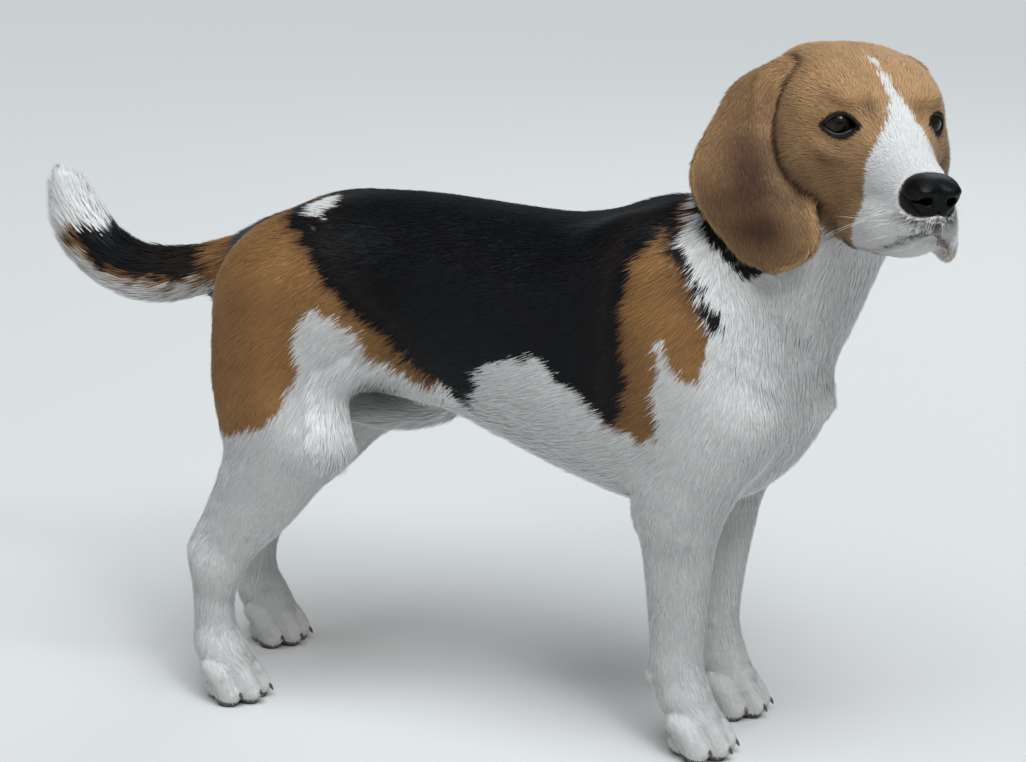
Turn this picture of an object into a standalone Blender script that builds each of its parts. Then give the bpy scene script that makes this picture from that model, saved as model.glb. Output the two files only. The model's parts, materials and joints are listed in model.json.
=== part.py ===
# A standing hound, life size, in its short coat: a still model for a display.
# Metres, +Z up, +X forward, +Y to the dog's left; it stands on the floor at z = 0.
# The body is a field of soft masses that melt together. It is meshed whole, then parted
# into named solids with thin cuts. Ears, nose, eyes and claws are set into it.

import bpy
import bmesh
import numpy as np
import openvdb
from math import cos, radians, sin
from mathutils import Matrix, Vector

GAP = 0.0003            # left between neighbouring solids
VOXEL = 0.005           # spacing of the grid that the field is meshed on
FAR = 0.06              # value of the field away from every mass
BODY_TRIANGLES = 2700   # of the whole body before it is parted
EAR_TRIANGLES = 240

HEAD_ORIGIN = (0.2502, -0.0106, 0.4387)   # middle of the brain case
HEAD_YAW = -51.2                          # degrees, turned to the dog's right
HEAD_PITCH = -10.1                        # degrees, nose down
HEAD_ROLL = -3.1
EYE_PLACE = (0.0265, 0.0300, 0.0108)      # in the head's frame, left eye
EYE_RADIUS = 0.0115
EYE_OUTWARD = 25                          # degrees that an eye looks to its own side
LID_OPENING = 0.0088
FORE_TRACK = 0.0425                       # from the middle of the dog to a paw's middle
HIND_TRACK = 0.0600
LEFT_HIND_BACK = 0.024                    # how far the left hind foot stands behind the right
FORE_PASTERN = 0.150                      # x over the middle of a paw
HIND_PASTERN = -0.196

# x, top, bottom, half width, height of the widest place
TRUNK = [
    (-0.212, 0.3050, 0.262, 0.020, 0.284), (-0.200, 0.3250, 0.250, 0.038, 0.286),
    (-0.180, 0.3430, 0.240, 0.052, 0.290), (-0.150, 0.3575, 0.232, 0.062, 0.296),
    (-0.120, 0.3665, 0.226, 0.066, 0.300), (-0.080, 0.3710, 0.222, 0.065, 0.300),
    (-0.040, 0.3700, 0.216, 0.066, 0.294), (0.000, 0.3670, 0.201, 0.071, 0.284),
    (0.040, 0.3645, 0.185, 0.078, 0.274), (0.080, 0.3680, 0.171, 0.082, 0.266),
    (0.115, 0.3735, 0.162, 0.080, 0.262), (0.150, 0.3680, 0.166, 0.074, 0.258),
    (0.180, 0.3450, 0.176, 0.064, 0.254), (0.203, 0.3150, 0.194, 0.050, 0.250),
    (0.217, 0.2850, 0.212, 0.034, 0.248), (0.225, 0.2620, 0.230, 0.014, 0.246),
]
# the same for the head, along its own axis from the back of the skull to the stop
SKULL = [
    (-0.080, 0.0160, -0.010, 0.0120, 0.004), (-0.070, 0.0300, -0.024, 0.0340, 0.004),
    (-0.052, 0.0395, -0.036, 0.0465, 0.002), (-0.030, 0.0440, -0.044, 0.0515, 0.000),
    (-0.010, 0.0452, -0.050, 0.0540, -0.004), (0.006, 0.0440, -0.054, 0.0545, -0.007),
    (0.020, 0.0392, -0.058, 0.0505, -0.010), (0.032, 0.0320, -0.060, 0.0430, -0.014),
    (0.044, 0.0235, -0.061, 0.0350, -0.018), (0.056, 0.0160, -0.060, 0.0295, -0.022),
]
MUZZLE = [
    (0.036, 0.0280, -0.055, 0.0360, -0.016), (0.050, 0.0185, -0.056, 0.0300, -0.020),
    (0.066, 0.0115, -0.054, 0.0265, -0.024), (0.082, 0.0075, -0.050, 0.0245, -0.024),
    (0.098, 0.0035, -0.044, 0.0225, -0.022), (0.109, -0.0020, -0.038, 0.0180, -0.020),
    (0.117, -0.0120, -0.030, 0.0090, -0.020),
]
# x, y, z, radius across, radius fore and aft
NECK = [
    (0.150, 0.000, 0.285, 0.066, 0.080), (0.178, 0.000, 0.322, 0.062, 0.074),
    (0.207, -0.001, 0.363, 0.055, 0.063), (0.232, -0.004, 0.402, 0.050, 0.055),
    (0.240, -0.008, 0.430, 0.046, 0.048),
]
TAIL = [
    (-0.175, 0, 0.3220, 0.0220, 0.0240), (-0.205, 0, 0.3110, 0.0190, 0.0215),
    (-0.235, 0, 0.3020, 0.0175, 0.0200), (-0.262, 0, 0.2955, 0.0180, 0.0220),
    (-0.290, 0, 0.2960, 0.0185, 0.0235), (-0.315, 0, 0.3060, 0.0185, 0.0235),
    (-0.334, 0, 0.3270, 0.0180, 0.0225), (-0.344, 0, 0.3500, 0.0150, 0.0175),
    (-0.350, 0, 0.3640, 0.0070, 0.0080),
]
# each ear from root to tip, in the head's frame: front edge, then rear edge
RIGHT_EAR = [
    (-0.026, 0.044, 0.030, -0.060, 0.046, 0.014), (-0.022, 0.055, 0.022, -0.054, 0.069, 0.009),
    (-0.014, 0.056, 0.002, -0.039, 0.086, -0.006), (0.010, 0.052, -0.020, -0.027, 0.102, -0.026),
    (0.034, 0.049, -0.036, -0.018, 0.108, -0.043), (0.048, 0.048, -0.052, -0.008, 0.104, -0.061),
    (0.054, 0.050, -0.068, 0.000, 0.090, -0.079), (0.045, 0.057, -0.082, 0.012, 0.076, -0.089),
    (0.041, 0.0605, -0.0860, 0.021, 0.0675, -0.0890),
]
LEFT_EAR = [
    (-0.026, 0.044, 0.032, -0.062, 0.044, 0.014), (-0.026, 0.055, 0.024, -0.066, 0.060, 0.008),
    (-0.030, 0.057, 0.000, -0.074, 0.066, -0.006), (-0.026, 0.055, -0.020, -0.086, 0.066, -0.024),
    (-0.020, 0.054, -0.040, -0.092, 0.066, -0.044), (-0.018, 0.052, -0.056, -0.090, 0.062, -0.062),
    (-0.024, 0.052, -0.072, -0.080, 0.058, -0.078), (-0.036, 0.052, -0.084, -0.066, 0.055, -0.088),
    (-0.046, 0.052, -0.088, -0.056, 0.054, -0.090),
]
EAR_CURL = 0.22          # how far the edges turn in, as a share of the half width
EAR_HALF = 0.0028        # half thickness at the edge, and what is added towards the middle
EAR_BODY = 0.0010
EAR_ROOT = 0.0030
# each toe beside the paw's middle: sideways and forward
TOES = [(-0.0172, -0.011), (-0.0070, 0.0), (0.0070, 0.0), (0.0172, -0.011)]
CLAW_LENGTH = 0.0115
CLAW_RADIUS = 0.0026


# ---- the field ----------------------------------------------------------------------

def spline(rows, steps):
    """A smooth run of rows through the given ones."""
    r = np.asarray(rows, float)
    r = np.vstack([2 * r[0] - r[1], r, 2 * r[-1] - r[-2]])
    out = []
    for i in range(1, len(r) - 2):
        p0, p1, p2, p3 = r[i - 1:i + 3]
        for t in np.arange(steps) / steps:
            bend = (2 * p0 - 5 * p1 + 4 * p2 - p3) * t**2 + (3 * p1 - p0 - 3 * p2 + p3) * t**3
            out.append(0.5 * (2 * p1 + (p2 - p0) * t + bend))
    out.append(r[-2])
    return np.array(out)


def oval(x, y, z, rx, ry, rz):
    """Roughly the distance to an ellipsoid."""
    near = np.sqrt((x / rx)**2 + (y / ry)**2 + (z / rz)**2) + 1e-9
    steep = np.sqrt((x / rx**2)**2 + (y / ry**2)**2 + (z / rz**2)**2) + 1e-9
    return near * (near - 1) / steep


def ball(place, radii):
    place, radii = np.asarray(place, float), np.asarray(radii, float)
    return (lambda q: oval(*(q - place).T, *radii)), place - radii, place + radii


def limb(rows, steps=4):
    """A tapering limb of oval section along a smooth path."""
    path = spline(rows, steps)

    def distance(q):
        best = np.full(len(q), FAR)
        for a, b in zip(path[:-1], path[1:]):
            along = b[:3] - a[:3]
            length = np.linalg.norm(along)
            along = along / length
            across = np.array([0, 1, 0]) - along * along[1]
            across /= np.linalg.norm(across)
            d = q - a[:3]
            u = np.clip(d @ along / length, 0, 1)
            wide, deep = a[3] + (b[3] - a[3]) * u, a[4] + (b[4] - a[4]) * u
            d = d - (u * length)[:, None] * along
            fore = np.cross(along, across)
            here = oval(d @ across, d @ fore, d @ along, wide, deep, np.sqrt(wide * deep))
            best = np.minimum(best, here)
        return best

    reach = path[:, 3:5].max(1)[:, None]
    return distance, (path[:, :3] - reach).min(0), (path[:, :3] + reach).max(0)


def loft(rows, above, below, steps=6):
    """Rounded sections along x. The powers say how square they are above and below."""
    t = spline(rows, steps)

    def distance(q):
        x = np.clip(q[:, 0], t[0, 0], t[-1, 0])
        top, bottom, wide, middle = (np.interp(x, t[:, 0], t[:, i]) for i in (1, 2, 3, 4))
        up = q[:, 2] - middle
        power = np.where(up > 0, above, below)
        tall = np.where(up > 0, top - middle, middle - bottom)
        k = ((np.abs(q[:, 1]) / wide)**power + (np.abs(up) / tall)**power)**(1 / power) + 1e-9
        d = np.sqrt(q[:, 1]**2 + up**2) * (1 - 1 / k)
        d = np.where(k < 0.05, -np.minimum(wide, tall), d)
        past = q[:, 0] - x
        beyond = np.sqrt(np.maximum(d, 0)**2 + past**2) + np.minimum(d, 0)
        return np.where(past != 0, beyond, d)

    low = np.array([t[:, 0].min(), -t[:, 3].max(), t[:, 2].min()])
    return distance, low, np.array([t[:, 0].max(), t[:, 3].max(), t[:, 1].max()])


def head_axes():
    """Rows: forward, left and up of the head."""
    yaw, pitch, roll = radians(HEAD_YAW), radians(HEAD_PITCH), radians(HEAD_ROLL)
    forward = np.array([cos(pitch) * cos(yaw), cos(pitch) * sin(yaw), sin(pitch)])
    left = np.array([-sin(yaw), cos(yaw), 0])
    left = left * cos(roll) + np.cross(forward, left) * sin(roll)
    return np.array([forward, left, np.cross(forward, left)])


def from_head(place):
    return np.asarray(place, float) @ head_axes() + HEAD_ORIGIN


def on_head(mass):
    """The same mass, given in the head's frame."""
    distance, low, high = mass
    axes = head_axes()
    corners = from_head([(x, y, z) for x in (low[0], high[0])
                         for y in (low[1], high[1]) for z in (low[2], high[2])])
    return (lambda q: distance((q - HEAD_ORIGIN) @ axes.T)), corners.min(0), corners.max(0)


def ear(rows, side):
    """A bent sheet, thicker towards its root and its middle."""
    r = spline(rows, 10)
    share = np.linspace(-1, 1, 48)
    middle, half = (r[:, :3] + r[:, 3:]) / 2, (r[:, 3:] - r[:, :3]) / 2
    out = np.cross(np.gradient(middle, axis=0), half)
    out *= np.sign(out[:, 1:2]) / np.linalg.norm(out, axis=1)[:, None]
    curl = EAR_CURL * np.linalg.norm(half, axis=1)[:, None] * share**2
    sheet = middle[:, None] + half[:, None] * share[:, None] - out[:, None] * curl[..., None]
    sheet[..., 1] *= side
    root = np.clip(1 - 4 * np.linspace(0, 1, len(r)), 0, 1)[:, None]
    thick = (EAR_HALF + EAR_BODY * (1 - np.abs(share)) + EAR_ROOT * root).reshape(-1)
    points = from_head(sheet.reshape(-1, 3))

    def distance(q):
        out = np.empty(len(q))
        for i in range(0, len(q), 4000):
            apart = np.linalg.norm(q[i:i + 4000, None] - points[None], axis=2)
            out[i:i + 4000] = (apart - thick).min(1)
        return out

    return distance, points.min(0) - 0.01, points.max(0) + 0.01


def body_masses():
    """(mass, blend radius) of everything but the ears."""
    masses = [(loft(TRUNK, 2.2, 1.95), 0.001), (limb(NECK), 0.03), (limb(TAIL), 0.014)]
    masses.append((ball((0.219, 0, 0.244), (0.012, 0.015, 0.013)), 0.012))      # breast bone
    sheath = [
        (-0.125, 0, 0.2140, 0.0180, 0.0160), (-0.090, 0, 0.2085, 0.0165, 0.0150),
        (-0.060, 0, 0.2105, 0.0130, 0.0125), (-0.042, 0, 0.2150, 0.0090, 0.0090),
    ]
    masses.append((limb(sheath), 0.012))
    for side in (-1, 1):
        masses += foreleg(side) + hindleg(side)
    return masses + head_masses()


def foreleg(side):
    blade = [
        (0.100, 0.040, 0.335, 0.022, 0.040), (0.145, 0.056, 0.290, 0.026, 0.042),
        (0.180, 0.056, 0.248, 0.024, 0.030),
    ]
    arm = [
        (0.178, 0.056, 0.246, 0.026, 0.030), (0.162, 0.062, 0.215, 0.026, 0.032),
        (0.146, 0.060, 0.180, 0.022, 0.028),
    ]
    forearm = [
        (0.1460, 0.0570, 0.195, 0.0210, 0.0290), (0.1435, 0.0530, 0.150, 0.0200, 0.0260),
        (0.1415, 0.0480, 0.113, 0.0180, 0.0220), (0.1405, 0.0445, 0.084, 0.0165, 0.0200),
        (0.1405, 0.0435, 0.064, 0.0170, 0.0195), (0.1460, 0.0430, 0.045, 0.0165, 0.0180),
    ]
    masses = [(limb(beside(blade, side)), 0.03), (limb(beside(arm, side)), 0.03)]
    masses.append((limb(beside(forearm, side)), 0.016))
    masses.append((ball((0.124, side * 0.055, 0.172), (0.011, 0.012, 0.013)), 0.012))      # elbow
    masses.append((ball((0.1235, side * 0.045, 0.0555), (0.0065, 0.007, 0.008)), 0.006))   # wrist pad
    return masses + paw(FORE_PASTERN, side * FORE_TRACK, 1.0)


def hindleg(side):
    back = LEFT_HIND_BACK if side > 0 else 0.0
    thigh = [
        (-0.135, 0.046, 0.290, 0.032, 0.055), (-0.147, 0.056, 0.245, 0.032, 0.050),
        (-0.130, 0.062, 0.205, 0.027, 0.036),
    ]
    buttock = [
        (-0.180, 0.032, 0.290, 0.025, 0.022), (-0.175, 0.046, 0.225, 0.026, 0.026),
        (-0.170, 0.056, 0.178, 0.019, 0.024),
    ]
    shank = [
        (-0.128, 0.064, 0.205, 0.0240, 0.0300), (-0.143, 0.064, 0.180, 0.0220, 0.0300),
        (-0.164, 0.062, 0.152, 0.0185, 0.0280), (-0.187, 0.060, 0.122, 0.0150, 0.0220),
        (-0.201, 0.060, 0.098, 0.0145, 0.0190),
    ]
    tendon = [
        (-0.185, 0.060, 0.170, 0.0100, 0.0100), (-0.205, 0.060, 0.135, 0.0060, 0.0070),
        (-0.2145, 0.060, 0.112, 0.0095, 0.0095),
    ]
    hock = [
        (-0.2010, 0.060, 0.102, 0.0150, 0.0190), (-0.2035, 0.060, 0.080, 0.0135, 0.0170),
        (-0.2035, 0.060, 0.055, 0.0130, 0.0160), (-0.1990, 0.060, 0.038, 0.0150, 0.0175),
    ]
    masses = [(ball((-0.128, side * 0.040, 0.305), (0.062, 0.038, 0.050)), 0.03)]
    for rows, blend in ((thigh, 0.03), (buttock, 0.025), (shank, 0.016), (tendon, 0.010), (hock, 0.010)):
        masses.append((limb(set_back(beside(rows, side), back)), blend))
    return masses + paw(HIND_PASTERN - back, side * HIND_TRACK, 0.97)


def beside(rows, side):
    return [(x, side * y, z, wide, deep) for x, y, z, wide, deep in rows]


def set_back(rows, back):
    """Moved back by the whole amount at the hock and by nothing at the hip."""
    moved = []
    for x, y, z, wide, deep in rows:
        share = min(max((0.27 - z) / 0.15, 0), 1)
        moved.append((x - back * share, y, z, wide, deep))
    return moved


def paw(x, y, size):
    """Pastern, four arched toes and the pad under them."""
    r = 0.0165 * size
    masses = [(limb([(x - 0.006, y, 0.040, r, r), (x + 0.006, y, 0.028, 1.1 * r, 0.9 * r)]), 0.010)]
    for sideways, forward in TOES:
        o = sideways * size
        toe = [
            (x + 0.002 + 0.6 * forward, y + 0.8 * o, 0.0270, 0.0085, 0.0095),
            (x + 0.014 + forward, y + o, 0.0215, 0.0083, 0.0098),
            (x + 0.0225 + forward, y + 1.06 * o, 0.0087, 0.0078, 0.0105),
        ]
        masses.append((limb(toe), 0.0035))
    masses.append((ball((x, y, 0.009), (0.015, 0.016, 0.0125)), 0.006))
    return masses


def head_masses():
    masses = [(loft(SKULL, 2.9, 2.2), 0.020), (loft(MUZZLE, 2.3, 2.2), 0.008)]
    for side in (-1, 1):
        lip = [
            (0.054, 0.0210, -0.046, 0.0100, 0.0180), (0.072, 0.0225, -0.042, 0.0100, 0.0170),
            (0.091, 0.0205, -0.036, 0.0100, 0.0165), (0.106, 0.0130, -0.030, 0.0090, 0.0140),
            (0.115, 0.0050, -0.025, 0.0060, 0.0085),
        ]
        masses.append((ball((0.004, side * 0.042, -0.022), (0.034, 0.016, 0.024)), 0.014))   # cheek
        masses.append((ball((0.028, side * 0.025, 0.028), (0.012, 0.013, 0.007)), 0.012))    # brow
        masses.append((limb(beside(lip, side)), 0.006))
    hanging = [
        (0.092, 0.0195, -0.0470, 0.0055, 0.0075), (0.104, 0.0200, -0.0460, 0.0050, 0.0095),
        (0.1125, 0.0175, -0.0380, 0.0045, 0.0065),
    ]
    masses.append((limb(hanging), 0.004))                                                # left lip
    jaw = [
        (0.000, 0, -0.050, 0.0340, 0.0160), (0.040, 0, -0.056, 0.0260, 0.0140),
        (0.070, 0, -0.052, 0.0180, 0.0120), (0.092, 0, -0.046, 0.0150, 0.0100),
        (0.104, 0, -0.041, 0.0110, 0.0080),
    ]
    masses.append((limb(jaw), 0.006))
    return [(on_head(mass), blend) for mass, blend in masses]


def values_on_grid(masses, low, high):
    """The field on a grid of VOXEL spacing, each mass worked out only near itself."""
    count = [int(round((b - a) / VOXEL)) + 1 for a, b in zip(low, high)]
    ticks = [a + VOXEL * np.arange(n) for a, n in zip(low, count)]
    field = np.full(count, FAR)
    for (distance, start, end), blend in masses:
        pad = blend + 0.012
        near = tuple(slice(np.searchsorted(t, s - pad), np.searchsorted(t, e + pad))
                     for t, s, e in zip(ticks, start, end))
        q = np.stack(np.meshgrid(*[t[s] for t, s in zip(ticks, near)], indexing="ij"), -1)
        new, old = distance(q.reshape(-1, 3)).reshape(q.shape[:3]), field[near]
        share = np.clip(0.5 + 0.5 * (new - old) / blend, 0, 1)
        field[near] = new + (old - new) * share - blend * share * (1 - share)
    return field


# ---- solids --------------------------------------------------------------------------

def clear_scene():
    for obj in list(bpy.data.objects):
        bpy.data.objects.remove(obj, do_unlink=True)
    for group in list(bpy.data.collections):
        bpy.data.collections.remove(group)


def collection(name):
    group = bpy.data.collections.new(name)
    bpy.context.scene.collection.children.link(group)
    return group


def add_object(name, mesh, group):
    obj = bpy.data.objects.new(name, mesh)
    group.objects.link(obj)
    return obj


def solid_from_field(name, masses, low, high, triangles, group):
    """Mesh where the field is zero, thinned to about the given number of triangles."""
    grid = openvdb.FloatGrid(background=FAR)
    grid.copyFromArray(values_on_grid(masses, low, high).astype(np.float32))
    points, quads = grid.convertToQuads(isovalue=0.0)
    mesh = bpy.data.meshes.new(name)
    mesh.from_pydata((points * VOXEL + np.asarray(low)).tolist(), [], quads.tolist())
    obj = add_object(name, mesh, group)
    keep_largest(obj)
    thin = obj.modifiers.new("thin", "DECIMATE")
    thin.ratio = triangles / (2 * len(mesh.polygons))
    apply_modifiers(obj)
    return obj


def apply_modifiers(obj):
    """Replaces the object's mesh with its evaluated one."""
    graph = bpy.context.evaluated_depsgraph_get()
    graph.update()
    old = obj.data
    obj.data = bpy.data.meshes.new_from_object(obj.evaluated_get(graph))
    obj.modifiers.clear()
    bpy.data.meshes.remove(old)


def keep_largest(obj):
    """Keeps the largest body, facing out, and drops any crumb a cut left beside it."""
    work = bmesh.new()
    work.from_mesh(obj.data)
    left, bodies = set(work.verts), []
    while left:
        found, edge = set(), [left.pop()]
        while edge:
            vert = edge.pop()
            found.add(vert)
            more = [e.other_vert(vert) for e in vert.link_edges]
            edge += [v for v in more if v in left]
            left.difference_update(more)
        bodies.append(found)
    keep = max(bodies, key=len)
    bmesh.ops.delete(work, geom=[v for v in work.verts if v not in keep], context="VERTS")
    bmesh.ops.recalc_face_normals(work, faces=work.faces)
    if work.calc_volume(signed=True) < 0:
        bmesh.ops.reverse_faces(work, faces=work.faces)
    work.to_mesh(obj.data)
    work.free()


def boolean(obj, other, operation):
    cut = obj.modifiers.new(operation.lower(), "BOOLEAN")
    cut.operation = operation
    cut.object = other
    apply_modifiers(obj)
    keep_largest(obj)


def box(name, low, high, group, axes=None, origin=(0, 0, 0)):
    """A cutting box from its low and high corners, in a frame whose rows are the axes."""
    bpy.ops.mesh.primitive_cube_add(size=1)
    obj = bpy.context.object
    obj.name = name
    for user in list(obj.users_collection):
        user.objects.unlink(obj)
    group.objects.link(obj)
    low, high = Vector(low), Vector(high)
    turn = Matrix(axes).transposed().to_4x4() if axes is not None else Matrix()
    sized = Matrix.Translation((low + high) / 2) @ Matrix.Diagonal((*(high - low), 1))
    obj.matrix_world = Matrix.Translation(origin) @ turn @ sized
    obj.hide_render = True
    obj.display_type = "WIRE"
    return obj


def take(body, name, low, high, parts, cutters, axes=None, origin=(0, 0, 0)):
    """Parts the box's share of the body off as its own solid, a gap away from the rest."""
    piece = add_object(name, body.data.copy(), parts)
    gap = Vector((GAP, GAP, GAP))
    inner = box(name + "_cut", Vector(low) + gap, Vector(high) - gap, cutters, axes, origin)
    outer = box(name + "_gap", low, high, cutters, axes, origin)
    bpy.context.view_layer.update()
    boolean(piece, inner, "INTERSECT")
    boolean(body, outer, "DIFFERENCE")
    return piece


def grown(obj, by, group):
    """A copy a little larger all round, as the seat that the object needs."""
    copy = add_object(obj.name + "_seat", obj.data.copy(), group)
    copy.matrix_world = obj.matrix_world
    copy.data.transform(obj.matrix_world)
    copy.matrix_world = Matrix()
    work = bmesh.new()
    work.from_mesh(copy.data)
    work.normal_update()
    for vert in work.verts:
        vert.co += vert.normal * by
    work.to_mesh(copy.data)
    work.free()
    copy.hide_render = True
    copy.display_type = "WIRE"
    return copy


def facing(along):
    """Rows of a frame whose z axis points along the given direction."""
    z = Vector(along).normalized()
    x = Vector((0, 1, 0)).cross(z).normalized()
    return [x, z.cross(x), z]


def take_beyond(body, name, point, along, reach, parts, cutters):
    """Parts off what lies beyond a plane, within reach of the point on it."""
    low, high = (-reach, -reach, 0), (reach, reach, 2 * reach)
    return take(body, name, low, high, parts, cutters, facing(along), point)


# ---- the dog ------------------------------------------------------------------------

def part_head(body, parts, cutters):
    nape, forward = (0.222, -0.003, 0.386), (0.44, -0.09, 0.89)
    skull = take_beyond(body, "head_skull", nape, forward, 0.25, parts, cutters)
    axes, origin = head_axes().tolist(), HEAD_ORIGIN
    muzzle = take(skull, "head_muzzle", (0.046, -0.1, -0.12), (0.2, 0.1, 0.1), parts, cutters, axes, origin)
    jaw = take(muzzle, "head_jaw", (0.0, -0.1, -0.12), (0.2, 0.1, -0.047), parts, cutters, axes, origin)
    return skull, muzzle, jaw


def part_tail(body, parts, cutters):
    tail = take(body, "tail_base", (-0.5, -0.1, 0.262), (-0.2135, 0.1, 0.5), parts, cutters)
    middle = take_beyond(tail, "tail_middle", (-0.250, 0, 0.298), (-1, 0, -0.16), 0.08, parts, cutters)
    end = take_beyond(middle, "tail_end", (-0.296, 0, 0.297), (-0.95, 0, 0.31), 0.08, parts, cutters)
    take_beyond(end, "tail_tip", (-0.333, 0, 0.326), (-0.52, 0, 0.85), 0.08, parts, cutters)


def part_foreleg(body, side, parts, cutters):
    name = "foreleg_" + ("right" if side < 0 else "left")
    inner, outer = sorted((side * 0.055, side * 0.15)), sorted((side * 0.031, side * 0.15))
    take(body, name + "_shoulder", (0.092, inner[0], 0.205), (0.25, inner[1], 0.330), parts, cutters)
    free = sorted((side * 0.004, side * 0.15))
    lower = take(body, name + "_lower", (0.0, free[0], -0.01), (0.3, free[1], 0.150), parts, cutters)
    take(body, name + "_upper", (0.0953, outer[0], 0.140), (0.2153, outer[1], 0.2053), parts, cutters)
    return take(lower, name + "_paw", (0.0, -0.2, -0.01), (0.3, 0.2, 0.046), parts, cutters)


def part_hindleg(body, side, parts, cutters):
    name = "hindleg_" + ("right" if side < 0 else "left")
    back = LEFT_HIND_BACK if side > 0 else 0.0
    outer = sorted((side * 0.030, side * 0.15))
    thigh = take(body, name + "_thigh", (-0.30, outer[0], -0.01), (-0.072, outer[1], 0.318), parts, cutters)
    knee = (-0.137 - 0.5 * back, side * 0.06, 0.190)
    shank = take_beyond(thigh, name + "_shank", knee, (-0.615, 0, -0.79), 0.16, parts, cutters)
    ankle = (-0.192 - back, side * 0.06, 0.124)
    hock = take_beyond(shank, name + "_hock", ankle, (-0.45, 0, -0.89), 0.12, parts, cutters)
    return take(hock, name + "_paw", (-0.4, -0.2, -0.01), (0.0, 0.2, 0.036), parts, cutters)


def part_trunk(body, parts, cutters):
    take(body, "trunk_rump", (-0.4, -0.2, 0.0), (-0.105, 0.2, 0.5), parts, cutters)
    take(body, "trunk_loin", (-0.2, -0.2, 0.0), (-0.020, 0.2, 0.5), parts, cutters)
    take(body, "trunk_ribs", (-0.1, -0.2, 0.0), (0.075, 0.2, 0.5), parts, cutters)
    body.name = "trunk_chest"


def eye(name, side, parts):
    bpy.ops.mesh.primitive_uv_sphere_add(segments=16, ring_count=8, radius=EYE_RADIUS)
    obj = moved_to(bpy.context.object, name, parts)
    x, y, z = EYE_PLACE
    obj.location = from_head((x, side * y, z))
    return obj


def between_lids(side, cutters):
    """The round opening in front of an eye."""
    bpy.ops.mesh.primitive_cylinder_add(vertices=20, radius=LID_OPENING, depth=0.03)
    obj = moved_to(bpy.context.object, "lids_cut", cutters)
    x, y, z = EYE_PLACE
    outward = np.array([cos(radians(EYE_OUTWARD)), side * sin(radians(EYE_OUTWARD)), 0.05])
    outward = Vector((outward @ head_axes()).tolist()).normalized()
    obj.rotation_euler = outward.to_track_quat("Z", "Y").to_euler()
    obj.location = Vector(from_head((x, side * y, z))) + 0.015 * outward
    obj.hide_render = True
    obj.display_type = "WIRE"
    bpy.context.view_layer.update()
    return obj


def nose(parts):
    """The leather at the end of the muzzle."""
    bpy.ops.mesh.primitive_uv_sphere_add(segments=16, ring_count=8, radius=1)
    obj = moved_to(bpy.context.object, "head_nose", parts)
    turn = Matrix(head_axes().tolist()).transposed().to_4x4()
    place = Matrix.Translation(from_head((0.1090, 0, -0.0078)))
    obj.matrix_world = place @ turn @ Matrix.Diagonal((0.0125, 0.0178, 0.0122, 1))
    return obj


def claw(name, x, y, parts):
    """A blunt cone that comes out of the toe and leans down to the floor."""
    bpy.ops.mesh.primitive_cone_add(vertices=8, radius1=CLAW_RADIUS, radius2=0.0008, depth=CLAW_LENGTH)
    obj = moved_to(bpy.context.object, name, parts)
    obj.rotation_euler = (0, radians(112), 0)
    obj.location = (x, y, 0.0092)
    return obj


def moved_to(obj, name, group):
    obj.name = name
    for user in list(obj.users_collection):
        user.objects.unlink(obj)
    group.objects.link(obj)
    return obj


def claws(paw_solid, x, y, size, parts, cutters):
    """Four claws, and their seats in the paw."""
    for number, (sideways, forward) in enumerate(TOES, 1):
        name = "claw_" + paw_solid.name.replace("leg", "").replace("_paw", "") + "_" + str(number)
        new = claw(name, x + 0.0225 + forward + 0.0098, y + 1.06 * sideways * size, parts)
        bpy.context.view_layer.update()
        boolean(paw_solid, grown(new, GAP, cutters), "DIFFERENCE")


def material(name, colour, roughness):
    made = bpy.data.materials.new(name)
    made.use_nodes = True
    shader = made.node_tree.nodes["Principled BSDF"]
    shader.inputs["Base Color"].default_value = (*colour, 1)
    shader.inputs["Roughness"].default_value = roughness
    shader.inputs["Metallic"].default_value = 0.0
    return made


COAT = {
    "head_skull": (0.46, 0.24, 0.10), "head_muzzle": (0.80, 0.75, 0.68), "head_jaw": (0.78, 0.73, 0.66),
    "ear": (0.33, 0.15, 0.06), "neck": (0.80, 0.77, 0.72), "trunk_chest": (0.74, 0.70, 0.64),
    "trunk_ribs": (0.03, 0.03, 0.03), "trunk_loin": (0.03, 0.03, 0.03), "trunk_rump": (0.35, 0.18, 0.08),
    "tail_base": (0.30, 0.17, 0.09), "tail_middle": (0.10, 0.07, 0.05), "tail_end": (0.08, 0.06, 0.05),
    "tail_tip": (0.84, 0.82, 0.78), "shoulder": (0.44, 0.22, 0.09), "thigh": (0.42, 0.22, 0.10),
}


def paint(parts):
    for obj in parts.objects:
        kind = obj.name.split("_")[0]
        keys = [k for k in COAT if obj.name.startswith(k) or obj.name.endswith("_" + k)]
        colour, roughness = (COAT[keys[0]] if keys else (0.82, 0.80, 0.76)), 0.85
        if kind == "eye":
            colour, roughness = (0.03, 0.015, 0.01), 0.05
        elif kind == "claw":
            colour, roughness = (0.16, 0.12, 0.10), 0.4
        elif obj.name == "head_nose":
            colour, roughness = (0.015, 0.015, 0.017), 0.35
        obj.data.materials.clear()
        obj.data.materials.append(material(obj.name, colour, roughness))


def centre(objects):
    """Moves everything so that the origin is under the middle of the whole."""
    points = [obj.matrix_world @ vert.co for obj in objects for vert in obj.data.vertices]
    x, y = [p.x for p in points], [p.y for p in points]
    shift = Vector((-(min(x) + max(x)) / 2, -(min(y) + max(y)) / 2, 0))
    for obj in bpy.data.objects:
        obj.location += shift


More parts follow.
